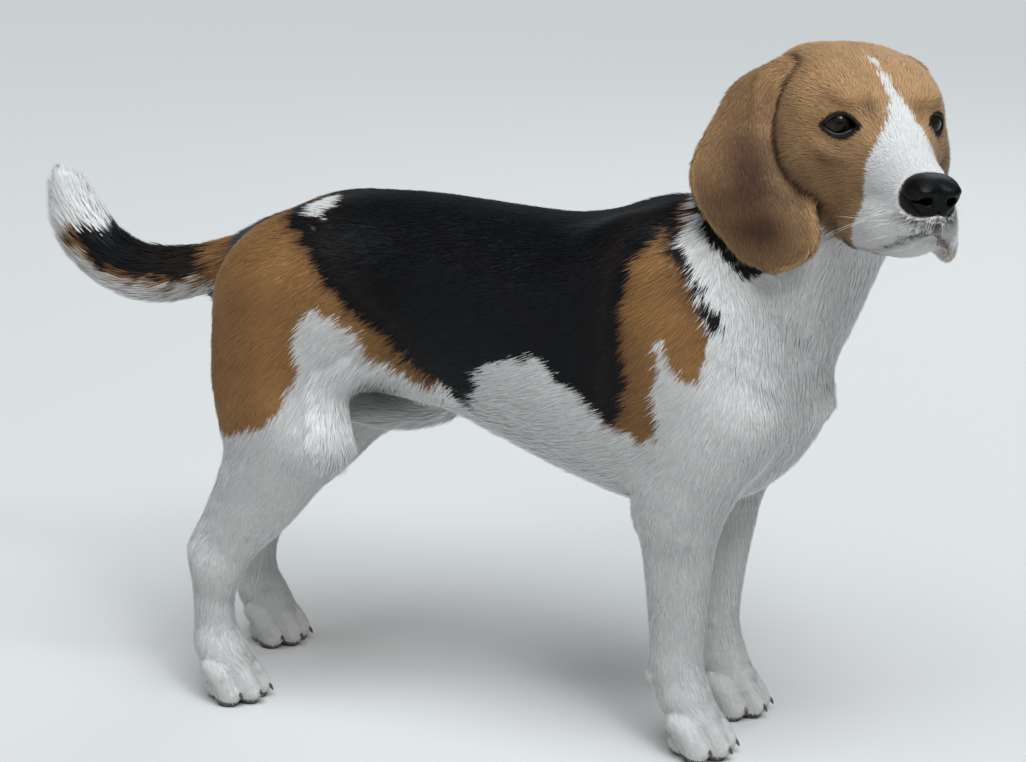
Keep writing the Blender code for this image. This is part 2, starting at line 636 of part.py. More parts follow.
def main():
    clear_scene()
    parts, cutters = collection("standing_hound"), collection("cutters")
    low, high = (-0.385, -0.15, -0.02), (0.37, 0.12, 0.52)
    body = solid_from_field("body", body_masses(), low, high, BODY_TRIANGLES, parts)
    floor = box("above_floor", (-1, -1, 0), (1, 1, 1), cutters)
    bpy.context.view_layer.update()
    boolean(body, floor, "INTERSECT")
    skull, muzzle, jaw = part_head(body, parts, cutters)
    take_beyond(body, "neck", (0.172, 0, 0.337), (0.67, 0, 0.74), 0.25, parts, cutters)
    part_tail(body, parts, cutters)
    paws = [part_foreleg(body, side, parts, cutters) for side in (-1, 1)]
    paws += [part_hindleg(body, side, parts, cutters) for side in (-1, 1)]
    part_trunk(body, parts, cutters)
    for side, word, rows in ((-1, "right", RIGHT_EAR), (1, "left", LEFT_EAR)):
        flap = ear(rows, side)
        piece = solid_from_field("ear_" + word, [(flap, 0.001)], flap[1], flap[2], EAR_TRIANGLES, parts)
        for host in (skull, bpy.data.objects["neck"], muzzle, jaw):
            boolean(piece, grown(host, GAP, cutters), "DIFFERENCE")
        ball_of_eye = eye("eye_" + word, side, parts)
        bpy.context.view_layer.update()
        boolean(skull, between_lids(side, cutters), "DIFFERENCE")
        boolean(skull, grown(ball_of_eye, GAP, cutters), "DIFFERENCE")
    leather = nose(parts)
    bpy.context.view_layer.update()
    boolean(muzzle, grown(leather, GAP, cutters), "DIFFERENCE")
    places = [(FORE_PASTERN, -FORE_TRACK, 1.0), (FORE_PASTERN, FORE_TRACK, 1.0),
              (HIND_PASTERN, -HIND_TRACK, 0.97), (HIND_PASTERN - LEFT_HIND_BACK, HIND_TRACK, 0.97)]
    for paw_solid, place in zip(paws, places):
        claws(paw_solid, *place, parts, cutters)
    paint(parts)
    bpy.context.view_layer.update()
    centre(parts.objects)


main()
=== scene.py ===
import json
from math import cos, radians, sin

import bmesh
import bpy
import numpy as np
import openvdb
from mathutils import Matrix, Vector, bvhtree, kdtree

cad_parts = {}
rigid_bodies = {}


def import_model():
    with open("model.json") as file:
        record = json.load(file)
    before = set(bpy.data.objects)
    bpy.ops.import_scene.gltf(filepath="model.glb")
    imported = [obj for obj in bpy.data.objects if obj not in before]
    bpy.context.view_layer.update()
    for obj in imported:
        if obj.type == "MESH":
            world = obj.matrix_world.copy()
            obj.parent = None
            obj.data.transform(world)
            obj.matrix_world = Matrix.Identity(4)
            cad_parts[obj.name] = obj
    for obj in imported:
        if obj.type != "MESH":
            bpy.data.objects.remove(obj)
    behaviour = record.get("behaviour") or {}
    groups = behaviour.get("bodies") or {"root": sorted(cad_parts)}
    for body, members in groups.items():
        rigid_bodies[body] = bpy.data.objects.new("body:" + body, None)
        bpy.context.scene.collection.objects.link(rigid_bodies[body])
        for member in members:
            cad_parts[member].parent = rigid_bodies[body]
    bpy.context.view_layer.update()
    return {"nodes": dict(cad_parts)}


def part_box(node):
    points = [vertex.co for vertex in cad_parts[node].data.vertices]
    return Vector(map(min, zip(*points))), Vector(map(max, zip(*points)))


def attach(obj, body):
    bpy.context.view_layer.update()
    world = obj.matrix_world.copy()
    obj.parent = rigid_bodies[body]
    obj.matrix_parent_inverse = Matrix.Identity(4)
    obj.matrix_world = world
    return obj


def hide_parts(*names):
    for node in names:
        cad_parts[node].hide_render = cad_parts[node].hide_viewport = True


# A standing hound, life size, as a still model. Metres, +X forward, +Y the dog's left, +Z up;
# the tables of places are in millimetres.
# The skin is one mesh taken from a field of soft masses; the coat is thin closed tufts on it.

for old in list(bpy.data.objects):
    bpy.data.objects.remove(old)
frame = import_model()
rng = np.random.default_rng(11)

form = {
    "spacing": 0.0036,                     # of the grid that the skin is first meshed on
    "gridLow": (-0.385, -0.14, -0.014),
    "gridHigh": (0.355, 0.125, 0.51),
    "fineByEye": 0.0185,                   # how far from the eyes and the mouth the skin is finest
    "fineByMouth": 0.0045,
    "longestMove": 0.0012,                 # of a point in one round of settling
    "far": 0.05,                           # the field's value away from every mass
    "headOrigin": (0.2502, -0.0106, 0.4387),
    "headTurn": (-51.2, -10.1, -3.1),      # yaw, pitch and roll in degrees
    "eyePlace": (0.0265, 0.0300, 0.0108),  # left eye, in the head's frame
    "eyeRadius": 0.0115,
    "eyeOutward": 25,
    "foreTrack": 0.0425,
    "hindTrack": 0.0600,
    "leftHindBack": 0.024,
    "forePastern": 0.150,
    "hindPastern": -0.196,
    "soleHeight": 0.0012,                  # of the skin over the floor; the pads reach down to it
}

# how far the tips of the coat stand out over the skin
coatDepth = {"trunk": 0.0035, "neck": 0.0045, "tail": 0.0050, "leg": 0.0018, "paw": 0.0010,
             "head": 0.0014, "muzzle": 0.0009, "ear": 0.0010, "thigh": 0.0028}


def mm(rows):
    return [tuple(round(value / 1000, 6) for value in row) for row in rows]


# x, top, bottom, half width, height of the widest place
trunkRows = mm([
    (-212, 305, 262, 20, 284), (-200, 325, 250, 38, 286), (-180, 343, 240, 52, 290),
    (-150, 357.5, 232, 62, 296), (-120, 366.5, 226, 66, 300), (-80, 371, 222, 65, 300),
    (-40, 370, 216, 66, 294), (0, 367, 201, 71, 284), (40, 364.5, 185, 78, 274),
    (80, 368, 171, 82, 266), (115, 373.5, 162, 80, 262), (150, 368, 166, 74, 258),
    (180, 345, 176, 64, 254), (203, 315, 194, 50, 250), (217, 285, 212, 34, 248),
    (225, 262, 230, 14, 246),
])
skullRows = mm([
    (-80, 16, -10, 12, 4), (-70, 30, -24, 34, 4), (-52, 39.5, -36, 46.5, 2),
    (-30, 44, -44, 51.5, 0), (-10, 45.2, -50, 54, -4), (6, 44, -54, 54.5, -7),
    (20, 39.2, -58, 50.5, -10), (32, 32, -60, 43, -14), (44, 23.5, -61, 35, -18),
    (56, 16, -60, 29.5, -22),
])
muzzleRows = mm([
    (36, 28, -55, 36, -16), (50, 18.5, -56, 30, -20), (66, 11.5, -54, 26.5, -24),
    (82, 7.5, -50, 24.5, -24), (98, 3.5, -44, 22.5, -22), (109, -2, -38, 18, -20),
    (117, -12, -30, 9, -20),
])
# x, y, z, radius across, radius fore and aft
neckRows = mm([
    (150, 0, 285, 66, 80), (178, 0, 322, 62, 74), (207, -1, 363, 55, 63), (232, -4, 402, 50, 55),
    (240, -8, 430, 46, 48),
])
tailRows = mm([
    (-175, 0, 322, 22, 24), (-205, 0, 311, 19, 21.5), (-235, 0, 302, 17.5, 20),
    (-262, 0, 295.5, 18, 22), (-290, 0, 296, 18.5, 23.5), (-315, 0, 306, 18.5, 23.5),
    (-334, 0, 327, 18, 22.5), (-344, 0, 350, 15, 17.5), (-350, 0, 364, 7, 8),
])
# each ear from root to tip, in the head's frame: front edge, then rear edge
rightEarRows = mm([
    (-26, 44, 30, -60, 46, 14), (-22, 55, 22, -54, 69, 9), (-14, 56, 2, -39, 86, -6),
    (10, 52, -20, -27, 102, -26), (34, 49, -36, -18, 108, -43), (48, 48, -52, -8, 104, -61),
    (54, 50, -68, 0, 90, -79), (45, 57, -82, 12, 76, -89), (41, 60.5, -86, 21, 67.5, -89),
])
leftEarRows = mm([
    (-26, 44, 32, -62, 44, 14), (-26, 55, 24, -66, 60, 8), (-30, 57, 0, -74, 66, -6),
    (-26, 55, -20, -86, 66, -24), (-20, 54, -40, -92, 66, -44), (-18, 52, -56, -90, 62, -62),
    (-24, 52, -72, -80, 58, -78), (-36, 52, -84, -66, 55, -88), (-46, 52, -88, -56, 54, -90),
])
earSheet = {"curl": 0.22, "half": 0.0028, "body": 0.0010, "root": 0.0030, "fold": 0.0030}
bothEars = ((rightEarRows, -1), (leftEarRows, 1))
toes = [(-0.0172, -0.011), (-0.0070, 0.0), (0.0070, 0.0), (0.0172, -0.011)]   # sideways, forward


# the field: each mass is (distance function, low corner, high corner)

def spline(rows, steps):
    r = np.asarray(rows, float)
    r = np.vstack([2 * r[0] - r[1], r, 2 * r[-1] - r[-2]])
    out = []
    for i in range(1, len(r) - 2):
        p0, p1, p2, p3 = r[i - 1:i + 3]
        for t in np.arange(steps) / steps:
            bend = (2 * p0 - 5 * p1 + 4 * p2 - p3) * t**2 + (3 * p1 - p0 - 3 * p2 + p3) * t**3
            out.append(0.5 * (2 * p1 + (p2 - p0) * t + bend))
    out.append(r[-2])
    return np.array(out)


def unit(v):
    return v / (np.linalg.norm(v, axis=-1, keepdims=True) + 1e-12)


def oval(x, y, z, rx, ry, rz):
    near = np.sqrt((x / rx)**2 + (y / ry)**2 + (z / rz)**2) + 1e-9
    steep = np.sqrt((x / rx**2)**2 + (y / ry**2)**2 + (z / rz**2)**2) + 1e-9
    return near * (near - 1) / steep


def ball(place, radii):
    place, radii = np.asarray(place, float), np.asarray(radii, float)
    return (lambda q: oval(*(q - place).T, *radii)), place - radii, place + radii


def limb(rows, steps=4):
    path = spline(rows, steps)

    def distance(q):
        best = np.full(len(q), form["far"])
        for a, b in zip(path[:-1], path[1:]):
            along = b[:3] - a[:3]
            length = np.linalg.norm(along)
            along = along / length
            across = unit(np.array([0, 1, 0]) - along * along[1])
            d = q - a[:3]
            u = np.clip(d @ along / length, 0, 1)
            wide, deep = a[3] + (b[3] - a[3]) * u, a[4] + (b[4] - a[4]) * u
            d = d - (u * length)[:, None] * along
            fore = np.cross(along, across)
            here = oval(d @ across, d @ fore, d @ along, wide, deep, np.sqrt(wide * deep))
            best = np.minimum(best, here)
        return best

    reach = path[:, 3:5].max(1)[:, None]
    return distance, (path[:, :3] - reach).min(0), (path[:, :3] + reach).max(0)


def loft(rows, above, below, steps=6):
    t = spline(rows, steps)

    def distance(q):
        x = np.clip(q[:, 0], t[0, 0], t[-1, 0])
        top, bottom, wide, middle = (np.interp(x, t[:, 0], t[:, i]) for i in (1, 2, 3, 4))
        up = q[:, 2] - middle
        power = np.where(up > 0, above, below)
        tall = np.where(up > 0, top - middle, middle - bottom)
        k = ((np.abs(q[:, 1]) / wide)**power + (np.abs(up) / tall)**power)**(1 / power) + 1e-9
        d = np.sqrt(q[:, 1]**2 + up**2) * (1 - 1 / k)
        d = np.where(k < 0.05, -np.minimum(wide, tall), d)
        past = np.abs(q[:, 0] - x)
        return np.where(past > 0, np.sqrt(np.maximum(d, 0)**2 + past**2) + np.minimum(d, 0), d)

    low = np.array([t[:, 0].min(), -t[:, 3].max(), t[:, 2].min()])
    return distance, low, np.array([t[:, 0].max(), t[:, 3].max(), t[:, 1].max()])


def axesOfHead():
    yaw, pitch, roll = (radians(a) for a in form["headTurn"])
    forward = np.array([cos(pitch) * cos(yaw), cos(pitch) * sin(yaw), sin(pitch)])
    left = np.array([-sin(yaw), cos(yaw), 0])
    left = left * cos(roll) + np.cross(forward, left) * sin(roll)
    return np.array([forward, left, np.cross(forward, left)])


headAxes = axesOfHead()


def fromHead(place):
    return np.asarray(place, float) @ headAxes + form["headOrigin"]


def toHead(q):
    return (q - np.array(form["headOrigin"])) @ headAxes.T


def onHead(mass):
    distance, low, high = mass
    corners = fromHead([(x, y, z) for x in (low[0], high[0]) for y in (low[1], high[1])
                        for z in (low[2], high[2])])
    return (lambda q: distance(toHead(q))), corners.min(0), corners.max(0)


def beside(rows, side):
    return [(row[0], side * row[1], *row[2:]) for row in rows]


def setBack(rows, back):
    return [(x - back * min(max((0.27 - z) / 0.15, 0), 1), y, z, wide, deep)
            for x, y, z, wide, deep in rows]


def earSurface(rows, side):
    # points of the ear's sheet in the body's frame, its thickness there, and which way its hair runs
    r = spline(rows, 10)
    share = np.linspace(-1, 1, 44)
    middle, half = (r[:, :3] + r[:, 3:]) / 2, (r[:, 3:] - r[:, :3]) / 2
    out = np.cross(np.gradient(middle, axis=0), half)
    out = unit(out * np.sign(out[:, 1:2]))
    curl = earSheet["curl"] * np.linalg.norm(half, axis=1)[:, None] * share**2
    down = np.linspace(0, 1, len(r))
    fold = earSheet["fold"] * np.exp(-((share[None] + 0.45) / 0.22)**2) * np.exp(-(down[:, None] / 0.45)**2)
    sheet = middle[:, None] + half[:, None] * share[:, None] - out[:, None] * (curl - fold)[..., None]
    sheet[..., 1] *= side
    root = np.clip(1 - 4 * down, 0, 1)[:, None]
    thick = earSheet["half"] + earSheet["body"] * (1 - np.abs(share)) + earSheet["root"] * root
    points = fromHead(sheet)
    return points, thick, unit(np.gradient(points, axis=0))


def earMass(rows, side):
    points, thick, _ = earSurface(rows, side)
    points, thick = points.reshape(-1, 3), thick.reshape(-1)
    tree = treeOf(points)

    def distance(q):
        found = [tree.find(p) for p in q.tolist()]
        return np.array([f[2] - thick[f[1]] for f in found])

    return distance, points.min(0) - 0.008, points.max(0) + 0.008


def treeOf(points):
    tree = kdtree.KDTree(len(points))
    for i, p in enumerate(points.tolist()):
        tree.insert(p, i)
    tree.balance()
    return tree


def bodyMasses():
    # (mass, blend radius, how far the skin lies under it)
    trunk = coatDepth["trunk"]
    breastbone = ball((0.219, 0, 0.244), (0.012, 0.015, 0.013))
    sheath = mm([
        (-125, 0, 214, 18, 16), (-90, 0, 208.5, 16.5, 15), (-60, 0, 210.5, 13, 12.5),
        (-42, 0, 215, 9, 9),
    ])
    masses = [(loft(trunkRows, 2.2, 1.95), 0.001, trunk), (limb(neckRows), 0.03, coatDepth["neck"]),
              (limb(tailRows), 0.014, coatDepth["tail"]), (breastbone, 0.012, trunk),
              (limb(sheath), 0.012, trunk)]
    for side in (-1, 1):
        masses += foreleg(side) + hindleg(side)
    return masses + headMasses()


def limbs(tables, side, back=0.0):
    # tables: (rows, blend radius, the coat over them)
    return [(limb(setBack(beside(rows, side), back)), blend, coatDepth[kind])
            for rows, blend, kind in tables]


def foreleg(side):
    blade = mm([(100, 40, 335, 22, 40), (145, 56, 290, 26, 42), (180, 56, 248, 24, 30)])
    arm = mm([(178, 56, 246, 26, 30), (162, 62, 215, 26, 32), (146, 60, 180, 22, 28)])
    forearm = mm([
        (146, 57, 195, 21, 29), (143.5, 53, 150, 20, 26), (141.5, 48, 113, 18, 22),
        (140.5, 44.5, 84, 16.5, 20), (140.5, 43.5, 64, 17, 19.5), (146, 43, 45, 16.5, 18),
    ])
    elbow = ball((0.124, side * 0.055, 0.172), (0.011, 0.012, 0.013))
    wristPad = ball((0.1235, side * 0.045, 0.0555), (0.0065, 0.007, 0.008))
    masses = limbs(((blade, 0.03, "thigh"), (arm, 0.03, "thigh"), (forearm, 0.016, "leg")), side)
    masses += [(elbow, 0.012, coatDepth["leg"]), (wristPad, 0.006, coatDepth["leg"])]
    return masses + paw(form["forePastern"], side * form["foreTrack"], 1.0)


def hindleg(side):
    back = form["leftHindBack"] if side > 0 else 0.0
    rump = ball((-0.128, side * 0.040, 0.305), (0.062, 0.038, 0.050))
    thigh = mm([(-135, 46, 290, 32, 55), (-147, 56, 245, 32, 50), (-130, 62, 205, 27, 36)])
    buttock = mm([(-180, 32, 290, 25, 22), (-175, 46, 225, 26, 26), (-170, 56, 178, 19, 24)])
    shank = mm([
        (-128, 64, 205, 24, 30), (-143, 64, 180, 22, 30), (-164, 62, 152, 18.5, 28),
        (-187, 60, 122, 15, 22), (-201, 60, 98, 14.5, 19),
    ])
    tendon = mm([(-185, 60, 170, 10, 10), (-205, 60, 135, 6, 7), (-214.5, 60, 112, 9.5, 9.5)])
    hock = mm([
        (-201, 60, 102, 15, 19), (-203.5, 60, 80, 13.5, 17), (-203.5, 60, 55, 13, 16),
        (-199, 60, 38, 15, 17.5),
    ])
    tables = ((thigh, 0.03, "thigh"), (buttock, 0.025, "thigh"), (shank, 0.016, "leg"),
              (tendon, 0.010, "leg"), (hock, 0.010, "leg"))
    masses = [(rump, 0.03, coatDepth["thigh"])] + limbs(tables, side, back)
    return masses + paw(form["hindPastern"] - back, side * form["hindTrack"], 0.97)


def paw(x, y, size):
    r = 0.0165 * size
    depth = coatDepth["paw"]
    masses = [(limb([(x - 0.006, y, 0.040, r, r), (x + 0.006, y, 0.028, 1.1 * r, 0.9 * r)]), 0.010, depth)]
    for sideways, forward in toes:
        o = sideways * size
        toe = [
            (x + 0.002 + 0.6 * forward, y + 0.8 * o, 0.0270, 0.0085, 0.0095),
            (x + 0.014 + forward, y + o, 0.0215, 0.0083, 0.0098),
            (x + 0.0225 + forward, y + 1.06 * o, 0.0087, 0.0078, 0.0105),
        ]
        masses.append((limb(toe), 0.0025, depth))
    masses.append((ball((x, y, 0.009), (0.015, 0.016, 0.0125)), 0.006, depth))
    return masses


def headMasses():
    head, muzzle = coatDepth["head"], coatDepth["muzzle"]
    masses = [(loft(skullRows, 2.9, 2.2), 0.020, head), (loft(muzzleRows, 2.3, 2.2), 0.008, muzzle)]
    for side in (-1, 1):
        lip = mm([
            (54, 21, -46, 10, 18), (72, 22.5, -42, 10, 17), (91, 20.5, -36, 10, 16.5),
            (106, 13, -30, 9, 14), (115, 5, -25, 6, 8.5),
        ])
        masses.append((ball((0.004, side * 0.042, -0.022), (0.034, 0.016, 0.024)), 0.014, head))   # cheek
        masses.append((ball((0.028, side * 0.025, 0.028), (0.012, 0.013, 0.007)), 0.012, head))    # brow
        masses.append((limb(beside(lip, side)), 0.006, muzzle))
    hanging = mm([(92, 19.5, -47, 5.5, 7.5), (104, 20, -46, 5, 9.5), (112.5, 17.5, -38, 4.5, 6.5)])
    masses.append((limb(hanging), 0.004, muzzle))
    jaw = mm([
        (0, 0, -50, 34, 16), (40, 0, -56, 26, 14), (70, 0, -52, 18, 12), (92, 0, -46, 15, 10),
        (104, 0, -41, 11, 8),
    ])
    masses.append((limb(jaw), 0.006, muzzle))
    return [(onHead(mass), blend, depth) for mass, blend, depth in masses]


# lids: an almond opening in front of each eye, in a frame that looks out of the head with it

lids = {
    "halfWidth": 0.0110, "upper": 0.0072, "lower": 0.0058, "tilt": 11, "point": 2.0,
    "inward": 0.0012,        # how far the opening's middle lies towards the nose
    "thickness": 0.0014, "socket": 0.0026, "soft": 0.0009, "rim": 0.0025,
    "margin": 0.00085, "marginOut": 0.0009, "colour": (0.006, 0.005, 0.005),
}


def eyeFrame(side):
    # rows: out of the eye, towards its outer corner, and up
    a = radians(form["eyeOutward"])
    out = unit(np.array([cos(a), side * sin(a), 0.05]))
    outer = unit(np.cross([0, 0, 1], out) * side)
    up = unit(np.cross(out, outer) * side)
    t = radians(lids["tilt"])
    outer, up = outer * cos(t) - up * sin(t), up * cos(t) + outer * sin(t)
    return np.array([out, outer, up]) @ headAxes


def eyeCentre(side):
    x, y, z = form["eyePlace"]
    return fromHead((x, side * y, z))


def almond(q, side):
    # how far each point is outside the opening, in metres and below 0 inside it; how far it is
    # from the eye's middle; and how far it is out in front of it
    rel = q - eyeCentre(side)
    out, outer, up = eyeFrame(side) @ rel.T
    outer = outer + lids["inward"]
    share = np.abs(outer) / lids["halfWidth"]
    tall = np.where(up > 0, lids["upper"], lids["lower"])
    level = np.abs(up) - tall * (1 - share**lids["point"])
    slope = np.sqrt(1 + (tall * lids["point"] * share**(lids["point"] - 1) / lids["halfWidth"])**2)
    return np.where(out > 0, level / slope, 0.05), np.linalg.norm(rel, axis=1), out


def lidOpening(side):
    def distance(q):
        level, far, _ = almond(q, side)
        return np.maximum(level, form["eyeRadius"] - lids["socket"] - far)

    centre = eyeCentre(side)
    return distance, centre - 0.016, centre + 0.022


mouth = {   # its line from the corner to the front, in the head's frame, on the right and on the left
    -1: mm([
        (56, -27, -65.5), (75, -28.5, -60), (97, -25, -51.5), (108, -21.5, -44), (115, -17, -36.8),
        (118.8, -12, -33.4), (120.5, -5, -32.2), (120.5, 1, -32),
    ]),
    1: mm([(114, 13.5, -42), (118, 7, -36), (120.5, 1, -31.5)]),
    "philtrum": mm([(123, 0, -20), (122.5, 0, -26), (120.5, 1, -31.5)]),
    "groove": 0.0017,
}


creases = {   # where the turned neck folds, and over the shoulder's front edge
    "neck": mm([(201, -59.5, 338), (208, -57.5, 321), (217, -51.5, 304), (229, -38.5, 292)]),
    "shoulder": mm([
        (196, -79, 284), (203, -75.2, 279), (213, -66.5, 272), (221, -54.5, 262), (225, -38.5, 250),
    ]),
    "radius": 0.0056, "blend": 0.009,
}


def details():
    # folds and openings of the skin: (mass, blend radius, depth, added or cut)
    def wire(places, radius):
        return limb([(*place, radius, radius) for place in places])

    out = []
    bulge = form["eyeRadius"] + lids["thickness"]
    for side in (-1, 1):
        out.append((ball(eyeCentre(side), (bulge,) * 3), 0.005, 0, 1))
    for side in (-1, 1):
        bag = mm([(30, 42, -4, 3, 2.2), (40, 36, -7, 3, 2.2), (48, 29, -6, 3, 2)])
        out.append((onHead(limb(beside(bag, side))), 0.006, 0, 1))
        out.append((onHead(wire(mouth[side], mouth["groove"])), 0.0012, 0, -1))
    for place in ("neck", "shoulder"):
        out.append((wire(creases[place], creases["radius"]), creases["blend"], 0, -1))
    out.append((onHead(wire(mouth["philtrum"], 0.0005)), 0.002, 0, -1))
    for side in (-1, 1):
        out.append((lidOpening(side), lids["soft"], 0, -1))
    return out


def melt(old, new, blend):
    share = np.clip(0.5 + 0.5 * (new - old) / blend, 0, 1)
    return new + (old - new) * share - blend * share * (1 - share)


def addMass(field, new, blend, depth, sign):
    return melt(field, new + depth, blend) if sign > 0 else -melt(-field, new, blend)


def fieldOnGrid(masses, low, high, step):
    count = [int(round((b - a) / step)) + 1 for a, b in zip(low, high)]
    ticks = [a + step * np.arange(n) for a, n in zip(low, count)]
    field = np.full(count, form["far"])
    for (distance, start, end), blend, depth, sign in masses:
        pad = blend + 3.5 * step
        near = tuple(slice(np.searchsorted(t, s - pad), np.searchsorted(t, e + pad))
                     for t, s, e in zip(ticks, start, end))
        q = np.stack(np.meshgrid(*[t[s] for t, s in zip(ticks, near)], indexing="ij"), -1)
        if q.size:
            new = distance(q.reshape(-1, 3)).reshape(q.shape[:3])
            field[near] = addMass(field[near], new, blend, depth, sign)
    return field


def fieldAt(masses, q):
    field = np.full(len(q), form["far"])
    for (distance, start, end), blend, depth, sign in masses:
        pad = blend + 0.010
        near = ((q > start - pad) & (q < end + pad)).all(1)
        if near.any():
            field[near] = addMass(field[near], distance(q[near]), blend, depth, sign)
    return field


def meshOnGrid(masses, low, high, step):
    grid = openvdb.FloatGrid(background=form["far"])
    grid.copyFromArray(fieldOnGrid(masses, low, high, step).astype(np.float32))
    points, quads = grid.convertToQuads(isovalue=0.0)
    points = points * step + np.asarray(low)
    a, b, c = (points[quads[:, i]] for i in (0, 1, 2))
    outward = np.einsum("ij,ij->i", a - points.mean(0), np.cross(b - a, c - a)).sum() > 0
    return points, quads if outward else quads[:, ::-1]


# meshes

def newMesh(name, points, faces):
    # faces: an array with one row of corners for each face
    points, faces = np.asarray(points, np.float32), np.asarray(faces, np.int32)
    mesh = bpy.data.meshes.new(name)
    mesh.vertices.add(len(points))
    mesh.vertices.foreach_set("co", points.ravel())
    mesh.loops.add(faces.size)
    mesh.loops.foreach_set("vertex_index", faces.ravel())
    mesh.polygons.add(len(faces))
    mesh.polygons.foreach_set("loop_start", np.arange(0, faces.size, faces.shape[1], dtype=np.int32))
    mesh.update(calc_edges=True)
    smoothShade(mesh)
    return mesh


def newObject(name, mesh):
    obj = bpy.data.objects.new(name, mesh)
    bpy.context.scene.collection.objects.link(obj)
    return obj


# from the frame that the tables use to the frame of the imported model
eyeLow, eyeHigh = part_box("eye_right")
toFrame = (eyeLow + eyeHigh) / 2 - Vector(eyeCentre(-1).tolist())


def declare(obj, material, slot, *nodes):
    obj.data.transform(Matrix.Translation(toFrame))
    obj.data.materials.clear()
    obj.data.materials.append(material)
    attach(obj, "root")
    if nodes:
        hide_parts(*nodes)
    return obj


def readFrom(items, key, width=3, kind=np.float32):
    # one row of numbers for each item
    out = np.empty(len(items) * width, kind)
    items.foreach_get(key, out)
    return out.reshape(-1, width) if width > 1 else out


def pointsOf(mesh):
    return readFrom(mesh.vertices, "co").astype(float)


def normalsOf(mesh):
    return readFrom(mesh.vertices, "normal").astype(float)


def setPoints(mesh, points):
    mesh.vertices.foreach_set("co", np.asarray(points, np.float32).ravel())
    mesh.update()


def smoothShade(mesh):
    mesh.polygons.foreach_set("use_smooth", np.ones(len(mesh.polygons), bool))


def storeColours(mesh, name, values):
    # four values for each point
    layer = mesh.color_attributes.new(name, "FLOAT_COLOR", "POINT")
    layer.data.foreach_set("color", values.ravel())


def trianglesOf(mesh):
    mesh.calc_loop_triangles()
    return readFrom(mesh.loop_triangles, "vertices", 3, np.int32)


def alongSkin(way, normals):
    # the part of each way that runs along the skin
    return way - (way * normals).sum(1)[:, None] * normals


def neighbourMean(mesh, values, times=1):
    a, b = readFrom(mesh.edges, "vertices", 2, np.int32).T
    ends = np.r_[a, b]
    count = np.bincount(ends, minlength=len(values))[:, None] + 1e-9
    for _ in range(times):
        total = [np.bincount(ends, np.r_[v[b], v[a]], len(values)) for v in values.T]
        values = np.stack(total, -1) / count
    return values


def subdivide(mesh, chosen, cuts=1):
    # chosen: a mask over the faces
    work = bmesh.new()
    work.from_mesh(mesh)
    work.faces.ensure_lookup_table()
    edges = {e for i in np.flatnonzero(chosen) for e in work.faces[i].edges}
    bmesh.ops.subdivide_edges(work, edges=list(edges), cuts=cuts, use_grid_fill=True)
    work.to_mesh(mesh)
    work.free()
    mesh.update()


def faceCentres(mesh):
    return readFrom(mesh.polygons, "center").astype(float)


def settle(mesh, masses, rounds, slide=0.0):
    # moves every vertex onto the field's surface, and evens them out along it
    for _ in range(rounds):
        points, normals = pointsOf(mesh), normalsOf(mesh)
        if slide:
            points = points + slide * alongSkin(neighbourMean(mesh, points) - points, normals)
        gap = np.clip(fieldAt(masses, points), -form["longestMove"], form["longestMove"])
        setPoints(mesh, points - normals * gap[:, None])


def makeSkin():
    masses = [(mass, blend, depth, 1) for mass, blend, depth in bodyMasses()]
    for rows, side in bothEars:
        masses.append((earMass(rows, side), 0.004, coatDepth["ear"], 1))
    masses += details()
    points, quads = meshOnGrid(masses, form["gridLow"], form["gridHigh"], form["spacing"])
    mesh = newMesh("skin", points, quads)
    obj = newObject("skin", mesh)
    unwrap(obj)
    # finer where the form is small: face, ears and paws, and then round the eyes and the mouth
    centre = faceCentres(mesh)
    inHead = toHead(centre)
    face = (inHead[:, 0] > -0.010) & (np.abs(inHead[:, 1]) < 0.06) & (inHead[:, 2] > -0.08)
    subdivide(mesh, face | closeToEars(centre) | (centre[:, 2] < 0.034))
    centre = faceCentres(mesh)
    fromEyes = np.min([np.linalg.norm(centre - eyeCentre(side), axis=1) for side in (-1, 1)], 0)
    inHead = toHead(centre)
    fromMouth = np.min([np.linalg.norm(inHead - one, axis=1) for one in mouthPoints(3)], 0)
    subdivide(mesh, (fromEyes < form["fineByEye"]) | (fromMouth < form["fineByMouth"]))
    settle(mesh, masses, 3, 0.35)
    settle(mesh, masses, 2)
    points = pointsOf(mesh)
    points[:, 2] = np.maximum(points[:, 2], form["soleHeight"])
    setPoints(mesh, points)
    smoothShade(mesh)
    return obj


def mouthPoints(steps):
    return np.concatenate([spline(mouth[line], steps) for line in (-1, 1, "philtrum")])


def unwrap(obj):
    # unwraps the skin; every tuft takes its place on the unwrap from here
    obj.data.uv_layers.new(name="OFBake")
    bpy.context.view_layer.objects.active = obj
    obj.select_set(True)
    bpy.ops.object.mode_set(mode="EDIT")
    bpy.ops.mesh.select_all(action="SELECT")
    bpy.ops.uv.smart_project(angle_limit=radians(62), island_margin=0.002)
    bpy.ops.object.mode_set(mode="OBJECT")
    obj.select_set(False)


def earShare(q):
    # how far each point is from the surface of an ear, and where it lies on it: down and across
    over, down, across = np.full(len(q), 1.0), np.zeros(len(q)), np.zeros(len(q))
    for rows, side in bothEars:
        points, thick, _ = earSurface(rows, side)
        tall, wide = thick.shape
        box = np.flatnonzero(((q > points.min((0, 1)) - 0.012) & (q < points.max((0, 1)) + 0.012)).all(1))
        tree = treeOf(points.reshape(-1, 3))
        found = [tree.find(p)[1:] for p in q[box].tolist()]
        at, far = np.array([f[0] for f in found], int), np.array([f[1] for f in found])
        far = far - thick.reshape(-1)[at]
        better = far < over[box]
        box, at, far = box[better], at[better], far[better]
        over[box], down[box], across[box] = far, at // wide / (tall - 1), at % wide / (wide - 1) * 2 - 1
    return over, down, across


